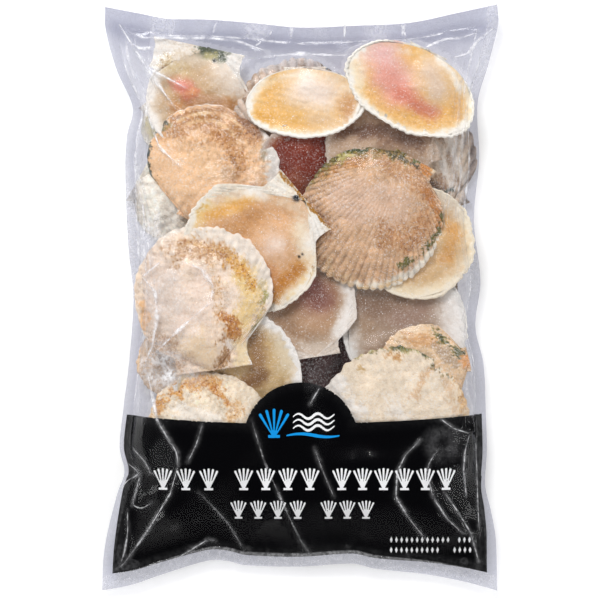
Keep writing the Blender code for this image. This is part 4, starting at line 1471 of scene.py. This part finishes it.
def on_pouch(shape, low_x, low_y, high_x, high_y):
    """A patch of ink for a shape given on the pouch, with the box it lies in."""
    corner_x, corner_y = np.array([low_x, high_x, low_x, high_x]), np.array([low_y, low_y, high_y, high_y])
    cut_x, cut_y = place_on_cut(corner_x, corner_y)
    return (
        cut_x.min(), cut_y.min(), cut_x.max(), cut_y.max(), MARK_CELL,
        lambda x, y: shape(*place_on_pouch(x, y)),
    )


def shell_mark(base_x, base_y, height, opening):
    """A simple shell of five tapered rays that fan out from the bar of its ears."""
    thick = 0.05 * height

    def shape(x, y):
        from_base = np.abs(y - base_y - 0.05 * height) - 0.05 * height
        best = np.maximum(np.abs(x - base_x) - 0.2 * height, from_base)
        for number in range(5):
            turn = math.radians(opening) * (number / 2 - 1)
            reach = (height - thick) * (0.75 + 0.25 * math.cos(turn))
            run_x, run_y = reach * math.sin(turn), reach * math.cos(turn)
            t = np.clip(((x - base_x) * run_x + (y - base_y) * run_y) / reach**2, 0.1, 1.0)
            off = np.hypot(x - base_x - t * run_x, y - base_y - t * run_y)
            best = np.minimum(best, off - thick * (0.3 + 0.7 * t))
        return best

    half = 0.62 * height
    return on_pouch(shape, base_x - half, base_y - 1, base_x + half, base_y + height + 1)


def lozenge_mark(middle_x, middle_y, width, height):
    """A small upright lozenge."""

    def shape(x, y):
        share = np.abs(x - middle_x) / (width / 2) + np.abs(y - middle_y) / (height / 2)
        return (share - 1) * width / 2

    return on_pouch(
        shape, middle_x - width, middle_y - height / 2 - 1, middle_x + width, middle_y + height / 2 + 1
    )


def wave_mark(low_x, high_x, middle_y, swing, length, thick):
    """A line that swings up and down, thick in the middle and thin at its ends."""

    def shape(x, y):
        along = np.clip((x - low_x) / (high_x - low_x), 0, 1)
        turn = math.tau * (x - low_x) / length
        slope = swing * math.tau / length * np.cos(turn)
        off = (y - middle_y - swing * np.sin(turn)) / np.sqrt(1 + slope**2)
        end = np.maximum(np.maximum(low_x - x, x - high_x), 0)
        return np.hypot(off, end) - thick * (0.45 + 0.55 * np.sin(math.pi * along)) / 2

    reach = swing + thick
    return on_pouch(shape, low_x - 1, middle_y - reach, high_x + 1, middle_y + reach)


# Rows of shells: first place, how many, how far apart, base line, and height.
SHELL_ROWS = [
    (-84.6, 3, 14.2, -118.7, 13.6), (-34.7, 4, 13.6, -118.7, 13.6), (25.7, 6, 12.9, -118.7, 13.6),
    (-38.0, 4, 12.2, -136.7, 11.6), (17.6, 3, 11.6, -136.7, 11.6),
]
# Rows of lozenges: first place, how many, and height on the pouch.
LOZENGE_ROWS = [(56.6, 12, -150.2), (98.8, 3, -150.2), (56.6, 10, -156.7), (96.0, 4, -156.7)]
LOZENGE_PITCH = 3.2

white = [
    shell_mark(first + pitch * place, base, height, 24)
    for first, count, pitch, base, height in SHELL_ROWS
    for place in range(count)
]
white += [
    lozenge_mark(first + LOZENGE_PITCH * place, middle, 1.9, 4.2)
    for first, count, middle in LOZENGE_ROWS
    for place in range(count)
]
white += [wave_mark(-4, 21, middle, 1.5, 12, 1.7) for middle in (-73.2, -76.8, -80.4)]
blue = [shell_mark(-16.0, -86.5, 18.0, 31), wave_mark(-8, 24, -85.0, 1.0, 34, 2.0)]
# The black's cells are the film's own, from its sixth row up to above the crown.
across, up = POUCH_WIDTH / COLUMNS, POUCH_LENGTH / ROWS
half_width, low_y = 126 * across, -POUCH_LENGTH / 2 + 6 * up
black = [(-half_width, low_y, half_width, low_y + 137 * up, across, black_field)]
ink_on_film("black_print", "#08080A", black, BLACK_DEPTH)
ink_on_film("white_print", "#F4F4F4", white, MARK_DEPTH)
ink_on_film("blue_print", "#1A9BE8", blue, MARK_DEPTH)

size = {"cad": [list(corner) for corner in cad_box], "visual": [list(c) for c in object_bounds()]}
